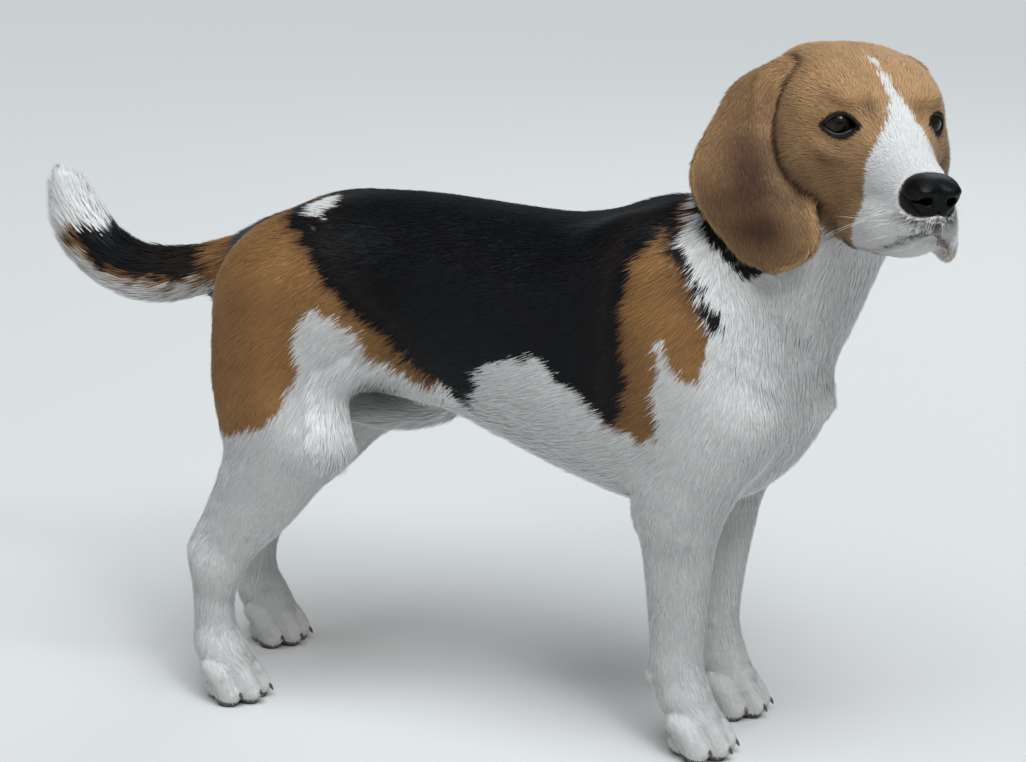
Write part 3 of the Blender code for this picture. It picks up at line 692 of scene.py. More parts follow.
def closeToEars(q):
    near = np.zeros(len(q), bool)
    for rows, side in bothEars:
        points, _, _ = earSurface(rows, side)
        tree = treeOf(points[::2, ::2].reshape(-1, 3))
        box = ((q > points.min((0, 1)) - 0.006) & (q < points.max((0, 1)) + 0.006)).all(1)
        near[box] = [tree.find(p)[2] < 0.006 for p in q[box].tolist()]
    return near


# the lie of the coat: points over the body that say which way the hair runs, and its kind

hairKinds = {   # length, width, lift in degrees, tufts for each square centimetre
    "muzzle": (0.0044, 0.00062, 17, 120), "face": (0.0062, 0.00070, 16, 105),
    "ear": (0.0078, 0.00080, 13, 80), "neck": (0.0150, 0.00100, 9.5, 62),
    "back": (0.0140, 0.00100, 6.5, 62), "belly": (0.0170, 0.00105, 11, 42),
    "thigh": (0.0125, 0.00095, 8, 64), "leg": (0.0085, 0.00080, 11, 76), "paw": (0.0056, 0.00066, 14, 95),
    "tail": (0.0200, 0.00105, 12, 60), "brush": (0.0200, 0.00105, 16, 85),
    "fringe": (0.0270, 0.00095, 4, 110),
}
kindNames = list(hairKinds)


def ringPlaces(rows):
    # places round a lofted mass, with how far up and how far out each one is
    for x, top, bottom, wide, middle in spline(rows, 2):
        for angle in np.radians(np.arange(0, 360, 30)):
            up, out = cos(angle), sin(angle)
            yield (x, wide * out, middle + up * (top - middle if up > 0 else middle - bottom)), up, out


def roundPlace(row, way, angle):
    # a place round a limb that runs the given way
    fore = unit(np.cross(way, [0, 1, 0]))
    return row[:3] + np.array([0, 1, 0]) * row[3] * sin(angle) + fore * row[4] * cos(angle)


def trunkFlow():
    for place, up, out in ringPlaces(trunkRows):
        if place[0] > 0.165:
            yield place, (-0.25, 0, -1), "neck"
        elif up < -0.6:
            yield place, (-1, 0, 0.05), "belly"
        else:
            yield place, (-1, 0, -0.42 * abs(out)), "back"


def legFlow(side):
    blade = mm([(110, 68, 330), (120, 82, 290), (140, 84, 310), (150, 88, 260), (165, 80, 285)])
    arm = mm([(170, 85, 245), (150, 88, 225), (150, 86, 195), (130, 82, 200), (170, 30, 190)])
    thigh = mm([
        (-120, 78, 330), (-160, 76, 310), (-110, 84, 290), (-150, 90, 260), (-190, 70, 270),
        (-120, 90, 230), (-165, 88, 215), (-195, 45, 240),
    ])
    shank = mm([(-135, 86, 180), (-165, 82, 150), (-185, 40, 150), (-150, 45, 175), (-195, 76, 115)])
    back = form["leftHindBack"] if side > 0 else 0.0
    yield beside(blade, side), (-0.5, 0, -0.9), "thigh"
    yield beside(arm, side), (-0.25, 0, -1), "thigh"
    yield beside(thigh, side), (-0.38, 0, -0.95), "thigh"
    yield [(x - 0.7 * back, y, z) for x, y, z in beside(shank, side)], (-0.45, 0, -0.9), "leg"
    quarters = (0, 1.6, 3.1, 4.7)
    for z in np.arange(0.045, 0.105, 0.015):
        yield [(-0.203 + 0.017 * cos(t) - back, side * 0.060 + 0.015 * sin(t), z)
               for t in quarters], (0.05, 0, -1), "leg"
    for z in np.arange(0.055, 0.185, 0.015):
        y = side * (0.044 + 0.07 * max(z - 0.1, 0))
        yield [(0.1425 + 0.022 * cos(t), y + 0.018 * sin(t), z) for t in quarters], (0, 0, -1), "leg"
    for x, y in ((form["forePastern"], form["foreTrack"]), (form["hindPastern"] - back, form["hindTrack"])):
        for sideways, forward in toes:
            yield (x + 0.012 + forward, side * y + sideways, 0.032), (0.85, 0, -0.5), "paw"
            yield (x + 0.030 + forward, side * y + sideways, 0.014), (0.35, 0, -0.9), "paw"
        yield [(x - 0.012, side * y, 0.020), (x, side * (y + 0.022), 0.018),
               (x, side * (y - 0.022), 0.018)], (0.4, 0, -0.9), "paw"


def neckAndTailFlow():
    neck, tail = spline(neckRows, 3), spline(tailRows, 3)
    for row, way in zip(neck[:-1], -np.gradient(neck[:, :3], axis=0)):
        for angle in np.radians(np.arange(0, 360, 36)):
            yield roundPlace(row, way, angle), way + np.array([0, 0, -0.010]), "neck"
    for i, (row, way) in enumerate(zip(tail, np.gradient(tail[:, :3], axis=0))):
        for angle in np.radians(np.arange(0, 360, 60)):
            yield roundPlace(row, way, angle), way, "brush" if i > 0.62 * len(tail) else "tail"


def headFlow():
    # over the skull and the muzzle; the flank's fringe; under the nose and over the lips; the ears
    for rows, kind in ((skullRows, "face"), (muzzleRows, "muzzle")):
        for place, up, out in ringPlaces(rows):
            way = np.array([-1.0, 0.30 * out, -0.35 * abs(out) + 0.15 * up])
            yield fromHead(place), way @ headAxes, kind
    fringe = mm([
        (-98, 59, 238), (-89, 56, 244), (-79, 53, 247), (-69, 52, 248), (-58, 53, 247),
        (-47, 54, 245), (-37, 54, 242),
    ])
    snout = [((0.120, 0.005, -0.023), (0.1, 0.35, -1)), ((0.117, 0.012, -0.026), (-0.2, 0.7, -0.9)),
             ((0.121, 0.002, -0.019), (0.1, 0.10, -1)), ((0.118, 0.009, -0.017), (-0.1, 0.6, -1)),
             ((0.111, 0.017, -0.011), (-0.7, 0.6, -0.5)), ((0.122, 0.003, -0.028), (0.1, 0.15, -1)),
             ((0.108, 0.021, -0.034), (-0.7, 0.4, -0.6)), ((0.112, 0.005, -0.042), (-0.5, 0.3, -0.8)),
             ((0.104, 0.012, -0.048), (-0.9, 0.2, -0.4))]
    for side in (-1, 1):
        yield beside(fringe, side) * 4, (-0.25, 0, -1), "fringe"
        mirror = (1, side, 1)
        for place, way in snout:
            places = fromHead(np.array(place) * mirror + np.zeros((3, 3)))   # three times, to weigh more
            yield places, np.array(way) * mirror @ headAxes, "muzzle"
    for rows, side in bothEars:
        points, _, way = earSurface(rows, side)
        yield points[2::4, ::5].reshape(-1, 3), way[2::4, ::5].reshape(-1, 3), "ear"


def flowTable():
    # for every place: which way the hair runs there, and the number of its kind
    table = []
    for flow in (trunkFlow(), legFlow(-1), legFlow(1), neckAndTailFlow(), headFlow()):
        for places, way, kind in flow:
            places = np.atleast_2d(places)
            way = unit(np.broadcast_to(np.asarray(way, float), places.shape))
            table.extend(zip(places.tolist(), way.tolist(), [kindNames.index(kind)] * len(places)))
    return [np.array(column) for column in zip(*table)]


def coatOver(points, normals, mesh):
    # for every vertex: the way of the hair along the skin, and the share of each kind
    places, ways, kinds = flowTable()
    tree = treeOf(places)
    way = np.zeros((len(points), 3))
    share = np.zeros((len(points), len(kindNames)))
    for i, p in enumerate(points.tolist()):
        for _, j, far in tree.find_n(p, 6):
            weight = 1 / (far * far + 2.5e-5)
            way[i] += weight * ways[j]
            share[i, kinds[j]] += weight
    share /= share.sum(1)[:, None]
    share = neighbourMean(mesh, share, 3)
    for _ in range(3):
        way = neighbourMean(mesh, unit(alongSkin(way, normals)), 5)
    return unit(alongSkin(way, normals)), share


# markings, as levels in metres that are above 0 inside each colour

saddle = mm([
    (-165, 450), (-156, 362), (-140, 351), (-127, 346), (-99, 314), (-67, 281), (-57, 264),
    (-43, 254), (-33, 246), (-8, 231), (-2, 246), (1, 261), (12, 272), (28, 276), (39, 274),
    (44, 281), (58, 273), (83, 255), (104, 236), (110, 252), (113, 272), (111, 300), (109, 324),
    (111, 346), (124, 361), (131, 376), (132, 450),
])
frontStrip = mm([
    (116, 400), (124, 378), (131, 362), (143, 348), (158, 328), (166, 309), (171, 303), (176, 309),
    (171, 320), (160, 334), (148, 350), (138, 366), (135, 378), (131, 400),
])
nape = mm([
    (146, 440), (137, 386), (151, 368), (166, 353), (186, 341), (200, 343), (208, 356), (203, 380),
    (215, 410), (230, 480),
])
shoulder = mm([
    (116, 400), (98, 346), (96, 324), (98, 272), (96, 240), (110, 231), (122, 227), (133, 232),
    (134, 252), (135, 275), (137, 300), (147, 286), (155, 276), (162, 276), (170, 288), (171, 308),
    (163, 322), (144, 354), (134, 400),
])
haunch = mm([
    (-120, 420), (-260, 420), (-260, 200), (-200, 198), (-179, 203), (-147, 212), (-133, 230),
    (-125, 255), (-126, 274), (-122, 288), (-113, 297), (-101, 295), (-85, 281), (-76, 263),
    (-64, 252.5), (-49, 248), (-36, 244), (-26, 244), (-70, 300), (-110, 345),
])


def insideLevel(x, z, outline):
    corners = np.array(outline)
    inside = np.zeros(len(x), bool)
    near = np.full(len(x), 1.0)
    for (xa, za), (xb, zb) in zip(corners, np.roll(corners, -1, 0)):
        run, rise = xb - xa, zb - za
        t = np.clip(((x - xa) * run + (z - za) * rise) / (run * run + rise * rise), 0, 1)
        near = np.minimum(near, np.hypot(x - xa - t * run, z - za - t * rise))
        crosses = (za > z) != (zb > z)
        inside ^= crosses & (x < xa + (z - za) * run / (rise if rise else 1e-9))
    return np.where(inside, near, -near)


def ripple(q, size, seed):
    # smooth noise from -1 to 1, with the given size in metres
    draw = np.random.default_rng(seed)
    total = np.zeros(len(q))
    for _ in range(7):
        way = unit(draw.normal(size=3)) * 2 * np.pi / (size * draw.uniform(0.7, 1.6))
        total += np.sin(q @ way + draw.uniform(0, 2 * np.pi))
    return total / 3.2


marking = {
    "rag": [(0.0022, 0.012, 3), (0.0012, 0.005, 4)],   # how far edges wander, over what length, and seed
    "leftMoved": 0.006,                        # how far the left side's edges are moved
    "whiteInside": (0.262, -0.185),            # the legs' insides are white below and ahead of this
    "rump": (0.022, -0.245, -0.150, 0.318),    # its black: half width, from, to, above
    "backSpot": (-0.128, -0.022, 0.010, 0.34),  # the white spot: forward, sideways, size, above
    "tailFrom": -0.205, "tailLength": 0.22,
    "tipFrom": 0.735, "tailBlackFrom": 0.22,   # as shares of the tail's length
    "tailBlack": 0.10, "tailTan": 0.26,        # how far down they reach, as shares of its thickness
    "earEdge": 0.0012,                         # how far over an ear's sheet its coat counts as the ear's
}
# the shift also paints light and shade: painted shadow beside the ears, a painted highlight along their
# edges, painted light on the forehead and painted shade on the cheeks
toneAndShadeShares = {   # how far the coat's colour is shifted to its third one
    "trunk": 0.30, "nearBlack": 0.5, "ear": 0.10, "earMiddle": 0.95, "earTip": 0.26, "earEdge": 0.35,
    "face": 0.30, "foreheadToneAndLight": 0.26, "shadowBeforeEar": 0.75,
}
headSpots = {   # place in the head's frame, size each way, and strength
    "earRoot": ((-0.030, 0.045, 0.026), (0.012, 0.030, 0.014), 1.0),
    "brow": ((0.040, 0.017, 0.024), (0.008, 0.006, 0.008), 0.6),
    "underEye": ((0.030, 0.040, -0.012), (0.016, 0.010, 0.008), 0.35),
    # the cheeks' spot is partly their own darker colour, partly painted shade
    "cheek": ((0.020, 0.040, -0.030), (0.030, 0.060, 0.020), 0.30),
    "mouthCorner": ((0.058, 0.029, -0.059), (0.0070, 0.012, 0.0032), 1.2),
    "frontLip": ((0.1150, 0.0090, -0.0385), (0.005, 0.005, 0.004), 0.7),
    "hangingLip": ((0.1125, 0.0155, -0.0475), (0.008, 0.006, 0.009), 0.95),
}


def fade(value, size):
    # 1 at and below 0, falling off over the size
    return np.exp(-np.clip(value, 0, 1) / size)


def hump(*parts):
    # 1 where every distance is 0, falling off over its size
    return np.exp(-sum((far / size)**2 for far, size in parts))


def trunkMarks(q, normals, rag):
    # black and tan of the trunk and the legs
    x, y, z = q.T
    moved = marking["leftMoved"] * (1 - np.where(y < 0, 1.0, 0.0))
    # the left side is like the right one, a little moved
    mx, mz = x + moved * np.sin(60 * z + 1), z + moved * np.sin(45 * x)
    black = np.maximum(insideLevel(mx, mz, saddle), insideLevel(mx, mz, frontStrip)) + rag
    tan = np.maximum(insideLevel(mx, mz, shoulder), insideLevel(mx, mz, haunch)) + rag
    below, ahead = marking["whiteInside"]
    inner = (np.sign(y) * normals[:, 1] < -0.25) & (z < below) & (x > ahead)
    tan = np.where(inner, -0.01, tan)
    wide, start, end, above = marking["rump"]
    rump = np.minimum(wide - np.abs(y), np.minimum(x - start, end - x)) + np.where(z > above, 0, -0.1)
    black = np.maximum(black, rump + 2 * rag)
    spotX, spotY, size, above = marking["backSpot"]
    spot = size - np.hypot((x - spotX) * 1.05 + 0.15 * (y + 0.02), (y - spotY) * 0.36) + rag
    black = np.where(z > above, np.minimum(black, -spot), black)
    tan = np.where((z > above) & (spot > 0), -spot, tan)
    return np.maximum(black, insideLevel(x, z, nape) + rag), tan


def tailMarks(x, z, rag):
    # black, tan and white tip of the tail, and the share of its length from its root
    path = spline(tailRows, 8)
    way = unit(np.gradient(path[:, :3], axis=0))
    near = np.argmin((x[:, None] - path[:, 0])**2 + (z[:, None] - path[:, 2])**2, 1)
    along = near / (len(path) - 1)
    rx, rz, thick = x - path[near, 0], z - path[near, 2], path[near, 4]
    high = (rx * way[near, 2] - rz * way[near, 0]) / thick
    length = marking["tailLength"]
    tip = (along - marking["tipFrom"] + 0.06 * high) * length + 2 * rag
    blackTop = (high + marking["tailBlack"]) * thick
    black = np.minimum(blackTop, (along - marking["tailBlackFrom"]) * length) + 2 * rag
    tan = (high + marking["tailTan"]) * thick + 2 * rag
    return np.minimum(black, -tip), np.minimum(tan, -tip), tip, along


# the head's markings: the lower edge of the tan along the head, the back edge of the muzzle's
# white by height, and the blaze; each is a list of places and the values there
headCurves = {
    "capEdge": ([-0.09, -0.06, -0.04, -0.01, 0.02, 0.04, 0.06],
                [-0.02, -0.03, -0.035, -0.048, -0.055, -0.066, -0.078]),
    "muzzleEnd": ([-0.06, -0.053, -0.031, -0.012, 0.005, 0.02],
                  [0.070, 0.071, 0.074, 0.065, 0.062, 0.058]),
    "blazeHalf": ([-0.02, -0.005, 0.017, 0.028, 0.040, 0.050, 0.058, 0.064],
                  [-0.006, 0.0008, 0.0019, 0.0028, 0.0055, 0.0110, 0.0165, 0.026]),
    "blazeMiddle": ([0, 0.02, 0.045, 0.06], [-0.0015, 0.0, 0.003, 0.001]),
}


def headMarks(a, b, c, part, rag, isEar):
    # the head's tan, and which points are on the head
    curve = {name: np.interp(c if name == "muzzleEnd" else a, *table) for name, table in headCurves.items()}
    skull = (a > -0.095) & (a < 0.05) & (np.abs(b) < 0.058) & (c > -0.016 + 2 * rag)
    cap = (c - curve["capEdge"]) * 0.75 + rag
    near = (a > -0.050) & (a < 0.080) & (np.abs(b) < 0.064) & (cap > 0)
    isHead = ((part["face"] + part["muzzle"] > 0.35) & (a > -0.045)) | skull | near
    blaze = np.where(c > -0.004, curve["blazeHalf"] - np.abs(b - curve["blazeMiddle"]), -1)
    white = np.maximum(a - curve["muzzleEnd"], blaze) + 0.6 * rag
    return np.where(isEar, 0.02, np.minimum(cap, -white)), isHead


def lidLevels(q):
    # above 0 on the dark rims of the eyes, and how far each point is outside the lids' openings
    rim, opening = np.full(len(q), -1.0), np.full(len(q), 1.0)
    for side in (-1, 1):
        level, far, out = almond(q, side)
        level = np.where((far < 0.022) & (out > 0), level, 1.0)
        rim, opening = np.maximum(rim, lids["rim"] - level), np.minimum(opening, level)
    return rim, opening


def fromLips(head):
    # how far each point is from the mouth's line
    far = np.full(len(head), 1.0)
    near = np.flatnonzero(np.hypot(head[:, 0] - 0.09, head[:, 2] + 0.045) < 0.06)
    for one in mouthPoints(6):
        far[near] = np.minimum(far[near], np.linalg.norm(head[near] - one, axis=1))
    return far


def headSpot(head, name):
    # the same on both sides of the head
    place, size, strength = headSpots[name]
    a, b, c = head.T
    return strength * hump(*zip((a - place[0], np.abs(b) - place[1], c - place[2]), size))


def toneOver(q, head, isHead, ear, black, tan):
    # over the trunk and the legs, the ears and the face; on the head and the ears the tone holds painted
    # light and shade beside the coat's own colour
    isEar, over, down, across = ear
    toneAndShade = toneAndShadeShares["trunk"] + 0.12 * ripple(q, 0.05, 5)
    earToneAndHighlight = toneAndShadeShares["ear"] + toneAndShadeShares["earMiddle"] * hump((across + 0.05, 0.80), (down - 0.50, 0.29))
    earToneAndHighlight = earToneAndHighlight + toneAndShadeShares["earTip"] * np.clip((down - 0.55) / 0.2, 0, 1) + 0.10 * ripple(q, 0.022, 6)
    # painted highlight along both edges of each ear
    earToneAndHighlight = earToneAndHighlight - toneAndShadeShares["earEdge"] * np.clip((np.abs(across) - 0.86) / 0.1, 0, 1)
    toneAndShade = np.where(isEar, earToneAndHighlight, toneAndShade)
    # painted shadow on the head close beside each ear
    shadowBeforeEar = toneAndShadeShares["shadowBeforeEar"] * hump((np.clip(over - 0.001, 0, 1), 0.0045)) * (head[:, 2] > -0.06)
    earRoot = headSpot(head, "earRoot") * (0.42 + 0.35 * ripple(q, 0.004, 12))
    shades = shadowBeforeEar + earRoot * (head[:, 1] < -0.02)
    # darker at the brows, under the eyes and on the cheeks; on the cheeks partly painted shade
    for name in ("brow", "underEye", "cheek"):
        shades = shades + headSpot(head, name)
    # lighter towards the top of the head: partly the coat's own paler colour, partly painted light from
    # above
    faceToneAndLight = toneAndShadeShares["face"] - toneAndShadeShares["foreheadToneAndLight"] * np.clip((head[:, 2] + 0.005) / 0.028, 0, 1)
    toneAndShade = np.where(isHead & ~isEar, faceToneAndLight + 0.08 * ripple(q, 0.02, 7) + shades, toneAndShade)
    nearBlack = toneAndShadeShares["nearBlack"] * fade(-black, 0.006) * (tan > 0)
    return np.clip(np.where(~isHead & ~isEar, toneAndShade + nearBlack, toneAndShade), 0, 1)


def greyOver(q, head, part, lips, isHead):
    # greyer hair over the white: dark speckles at the lips and on the legs; painted shadow under the jaw;
    # and darker under the nose, at the mouth's corners, on the far lip and at the flank's fold
    a, b, c = head.T
    underNose = hump((a - 0.117, 0.012), (c + 0.0215, 0.0085))
    lipLine = 1.1 * hump((lips, 0.0040)) * (0.7 + 0.4 * ripple(q, 0.005, 8))
    corner = headSpot(head, "mouthCorner")
    # painted shadow under the jaw
    chinShadow = 0.22 * (a > 0.06) * hump((c + 0.060, 0.009))
    farLip = headSpot(head, "frontLip") * (b > 0)
    freckleAndShadow = np.where(isHead | (corner > 0.1), underNose + lipLine + corner + chinShadow + farLip, 0)
    speck = np.clip(ripple(q, 0.008, 9) - 0.80, 0, 1) * 0.35 * (part["leg"] + part["paw"])
    flank = 1.5 * hump((q[:, 0] + 0.082, 0.015), (q[:, 2] - 0.235, 0.009)) * (np.abs(q[:, 1]) < 0.060)
    return np.clip(freckleAndShadow + speck + flank * (0.65 + 0.4 * ripple(q, 0.004, 13)), 0, 1)


def marksOf(q, normals, share):
    part = {name: share[:, i] for i, name in enumerate(kindNames)}
    head = toHead(q)
    rag = sum(height * ripple(q, size, seed) for height, size, seed in marking["rag"])
    black, tan = trunkMarks(q, normals, rag)
    tailBlack, tailTan, tip, along = tailMarks(q[:, 0], q[:, 2], rag)
    onTail = (part["tail"] + part["brush"] > 0.5) & (q[:, 0] < marking["tailFrom"])
    black, tan = np.where(onTail, tailBlack, black), np.where(onTail, tailTan, tan)
    over, down, across = earShare(q)
    isEar = over < marking["earEdge"]
    headTan, isHead = headMarks(*head.T, part, rag, isEar)
    black, tan = np.where(isHead | isEar, -0.02, black), np.where(isHead | isEar, headTan, tan)
    rim, opening = lidLevels(q)
    lips = fromLips(head)
    toneAndShade = toneOver(q, head, isHead, (isEar, over, down, across), black, tan)
    cream = headSpot(head, "hangingLip") * (head[:, 1] > 0)
    cream = np.where(onTail, 0.7 * fade(-tan, 0.004) * (tip < 0), cream)
    brown = 0.32 * fade(np.abs(tan), 0.0032) * (black > 0) + 0.01 * (1 + ripple(q, 0.03, 10))
    brown = np.where(onTail, 0.8 * brown + 0.25 * np.clip((0.50 - along) / 0.2, 0, 1), brown)
    return {"brown": np.clip(brown, 0, 1), "black": black, "tan": tan, "toneAndShade": toneAndShade,
            "cream": np.clip(cream, 0, 1), "grey": greyOver(q, head, part, lips, isHead), "rim": rim,
            "open": opening, "lips": np.where(isHead, lips, 1.0), "ear": isEar, "head": isHead | isEar}


def noseGap(points):
    # 1 at the nose's leather, more away from it, and less than that on the bare skin under it
    off = toHead(points) - noseLeather["middle"]
    low = np.clip(-off[:, 2] / 0.010, 0, 1)
    off[:, 2] *= np.where(off[:, 2] < 0, noseLeather["radii"][2] / noseLeather["below"], 1.0)
    return np.linalg.norm(off / noseLeather["radii"], axis=1) - 0.09 * low


# the coat

coat = {
    "budget": 1400000,       # triangles in all
    "bentOver": 0.0195,      # hair longer than this is bent tufts, and shorter is straight ones
    "sink": 0.07,            # how deep a tuft starts under the skin, as a share of its length
    "deepest": 0.0007,       # and at most
    "bend": 0.52,            # where a bent tuft bends, as a share of its length
    "bendHeight": 0.62,      # how high it stands there, and a tuft's tip, as shares of its rise
    "bentTip": 0.75, "straightTip": 0.9,
    "bendWidth": 0.85,       # of a bent tuft at its bend, as a share of its width at its root
    "thick": 0.34,           # of a tuft, as a share of its width
    "swing": 6,              # degrees that neighbouring tufts swing apart
    "patch": 0.003,          # of a tuft on the unwrap
    "round": 0.55,           # how far the shading turns across a tuft
    "ragged": 0.0011,        # how far tufts of two colours mix over their edge
    "bareLid": 0.0006, "bareLip": 0.0014, "bareSole": 0.0035,   # how far bare skin reaches
    "bareNose": 1.12,        # the same round the nose, in its own radii
    "loose": {"brush": 0.95, "tail": 0.5, "fringe": 1.0},       # how far tufts stand off by kind
}


def scatter(mesh, perVertex):
    # roots spread over the skin in proportion to how thick the coat is
    corners = trianglesOf(mesh)
    count = len(corners)
    loops = readFrom(mesh.loop_triangles, "loops", 3, np.int32)
    area = readFrom(mesh.loop_triangles, "area", 1)
    uv = readFrom(mesh.uv_layers["OFBake"].data, "uv", 2)
    wanted = area * perVertex["dense"][corners].mean(1)
    cost = np.where(perVertex["length"][corners].mean(1) > coat["bentOver"], 10, 4)   # triangles in a tuft
    scale = coat["budget"] / (wanted * cost).sum()
    print("coat density scale", round(float(scale), 3))
    number = np.floor(wanted * min(scale, 1.6) + rng.random(count)).astype(int)
    tri = np.repeat(np.arange(count), number)
    u, v = rng.random(len(tri)), rng.random(len(tri))
    flip = u + v > 1
    u, v = np.where(flip, 1 - u, u), np.where(flip, 1 - v, v)
    weights = np.stack([1 - u - v, u, v], -1)
    root = {name: (values[corners[tri]] * (weights[..., None] if values.ndim > 1 else weights)).sum(1)
            for name, values in perVertex.items()}
    root["uv"] = (uv[loops[tri]] * weights[..., None]).sum(1)
    return root


def overSkin(tree, points, height, hold):
    # moves points to the given height over the skin; hold is how much of the way down those above it go
    found = [tree.find_nearest(p) for p in points.tolist()]
    at = np.array([f[0][:] for f in found])
    normal = np.array([f[1][:] for f in found])
    gap = ((points - at) * normal).sum(1)
    short = height - gap
    return points + normal * np.where(short > 0, short, short * hold)[:, None]


def tufts(root, bent, toneAndShade, tree):
    # thin closed tufts: a three-sided base, a bent middle where the hair is long, and a point.
    # Their shading normals follow the skin under them, rounded across each tuft
    n = len(root["point"])
    lie, normal = root["lie"], unit(root["normal"])
    turn = radians(coat["swing"]) * (root["swirl"] + 0.7 * rng.normal(size=n))
    lie = unit(alongSkin(lie, normal))
    side = np.cross(normal, lie)
    lie = lie * np.cos(turn)[:, None] + side * np.sin(turn)[:, None]
    lift = root["lift"] * rng.uniform(0.7, 1.3, n)
    axis = lie * np.cos(lift)[:, None] + normal * np.sin(lift)[:, None]
    side = unit(np.cross(axis, normal))
    top = np.cross(side, axis)
    length = (root["length"] * rng.uniform(0.7, 1.15, n))[:, None]
    width = (root["width"] * rng.uniform(0.7, 1.25, n))[:, None]
    sunk = np.minimum(coat["sink"] * length, coat["deepest"])
    start = root["point"] - normal * sunk - axis * 0.1 * length
    ring = [side * width / 2, -side * width / 2, top * width * coat["thick"]]
    height = length[:, 0] * np.sin(lift)
    hold = np.clip(1 - root["loose"], 0, 1)
    tipHeight = height * coat["bentTip" if bent else "straightTip"]
    tip = overSkin(tree, start + axis * length, tipHeight, hold)
    if bent:
        bend = overSkin(tree, start + axis * length * coat["bend"], height * coat["bendHeight"], hold)
        points = [start + r for r in ring] + [bend + coat["bendWidth"] * r for r in ring] + [tip]
        faces = [(0, 1, 2), (0, 3, 4), (0, 4, 1), (1, 4, 5), (1, 5, 2), (2, 5, 3), (2, 3, 0),
                 (3, 6, 4), (4, 6, 5), (5, 6, 3)]
        along = [0, 0, 0, 0.5, 0.5, 0.5, 1]
    else:
        points = [start + r for r in ring] + [tip]
        faces = [(0, 1, 2), (0, 3, 1), (1, 3, 2), (2, 3, 0)]
        along = [0, 0, 0, 1]
    k = len(points)
    points, faces = np.stack(points, 1), np.array(faces)
    points[..., 2] = np.maximum(points[..., 2], form["soleHeight"] / 2)
    if np.einsum("ij,ij->i", points[:, 1] - points[:, 0],
                 np.cross(points[:, 2] - points[:, 0], points[:, -1] - points[:, 0])).mean() > 0:
        faces = faces[:, ::-1]
    facing = [normal + coat["round"] * side, normal - coat["round"] * side, normal]
    facing = unit(np.stack((facing * 2 if bent else facing) + [normal + 0.3 * axis], 1))
    faces = (faces[None] + k * np.arange(n)[:, None, None]).reshape(-1, 3)
    strand = np.ones((n, k, 4), np.float32)
    strand[..., 0] = np.array(along)
    strand[..., 1] = toneAndShade[:, None]
    strand[..., 2] = rng.random(n)[:, None]
    strand[..., 3] = root["grey"][:, None]
    half = coat["patch"] / 2
    spread = np.array([(half, -half), (-half, -half), (0, 0.2 * half)] * (k // 3) + [(0, half)])
    placed = (root["uv"][:, None] + spread[None]).reshape(-1, 2)[faces.ravel()]
    return points.reshape(-1, 3), faces, facing.reshape(-1, 3), strand.reshape(-1, 4), placed


def tuftObject(name, groups):
    # one object from groups of tufts
    count = np.cumsum([0] + [len(group[0]) for group in groups])
    groups = [(group[0], group[1] + start, *group[2:]) for group, start in zip(groups, count)]
    points, faces, facing, strand, placed = [np.concatenate(values) for values in zip(*groups)]
    mesh = newMesh(name, points, faces)
    storeColours(mesh, "strand", strand)
    mesh.uv_layers.new(name="OFBake").data.foreach_set("uv", placed.astype(np.float32).ravel())
    mesh.normals_split_custom_set_from_vertices(facing.tolist())
    return newObject(name, mesh)


def pickRoots(root, chosen):
    return {name: values[chosen] for name, values in root.items()}


def hairOver(points, normals, lie, share, marks):
    # for every vertex: what the tufts that stand there are like
    hair = {"point": points, "normal": normals, "lie": lie, "share": share}
    kinds = np.array([hairKinds[name] for name in kindNames])
    for i, name in enumerate(("length", "width", "lift", "dense")):
        hair[name] = share @ kinds[:, i] * {"lift": np.pi / 180, "dense": 1e4}.get(name, 1)
    bare = (marks["open"] < coat["bareLid"]) | (marks["lips"] < coat["bareLip"])
    bare |= (points[:, 2] < coat["bareSole"]) | (noseGap(points) < coat["bareNose"])
    hair["dense"] = np.where(bare, 0, hair["dense"])
    hair["loose"] = sum(share[:, kindNames.index(name)] * amount for name, amount in coat["loose"].items())
    # shorter and thinner hair at the lids, and shorter at the lips and at the tail's end
    nearEye = np.clip((marks["open"] - coat["bareLid"]) / 0.006, 0.42, 1)
    nearLip = np.clip(marks["lips"] / 0.006, 0.6, 1)
    fromTip = np.linalg.norm(points - [tailRows[-1][0], 0, tailRows[-1][2]], axis=1)
    hair["length"] = hair["length"] * nearEye * nearLip * (1 - 0.42 * hump((fromTip, 0.022)))
    hair["width"] = hair["width"] * nearEye**0.5
    return hair


def coatPieces(root, black, tan):
    # which tufts make each piece of the coat
    x, _, z = root["point"].T
    white, high, forward = ~black & ~tan, root["head"], x > 0.075
    low = root["share"][:, [kindNames.index(k) for k in ("leg", "paw")]].sum(1) > 0.5
    onLegs, onTrunk = white & low & ~high, white & ~low & ~high
    return {
        "coatBlackBack": black & (x > -0.20) & (x < 0.02), "coatBlackWithers": black & (x >= 0.02),
        "coatBlackTail": black & (x <= -0.20), "coatTanHead": tan & high & ~root["ear"],
        "coatTanEars": tan & root["ear"], "coatTanBody": tan & ~high, "coatWhiteFace": white & high,
        "coatWhiteForelegs": onLegs & forward, "coatWhiteHindlegs": onLegs & ~forward,
        "coatWhiteChest": onTrunk & forward & (z <= 0.27), "coatWhiteNeck": onTrunk & forward & (z > 0.27),
        "coatWhiteBelly": onTrunk & ~forward & (x > -0.07), "coatWhiteThighs": onTrunk & (x <= -0.07),
    }


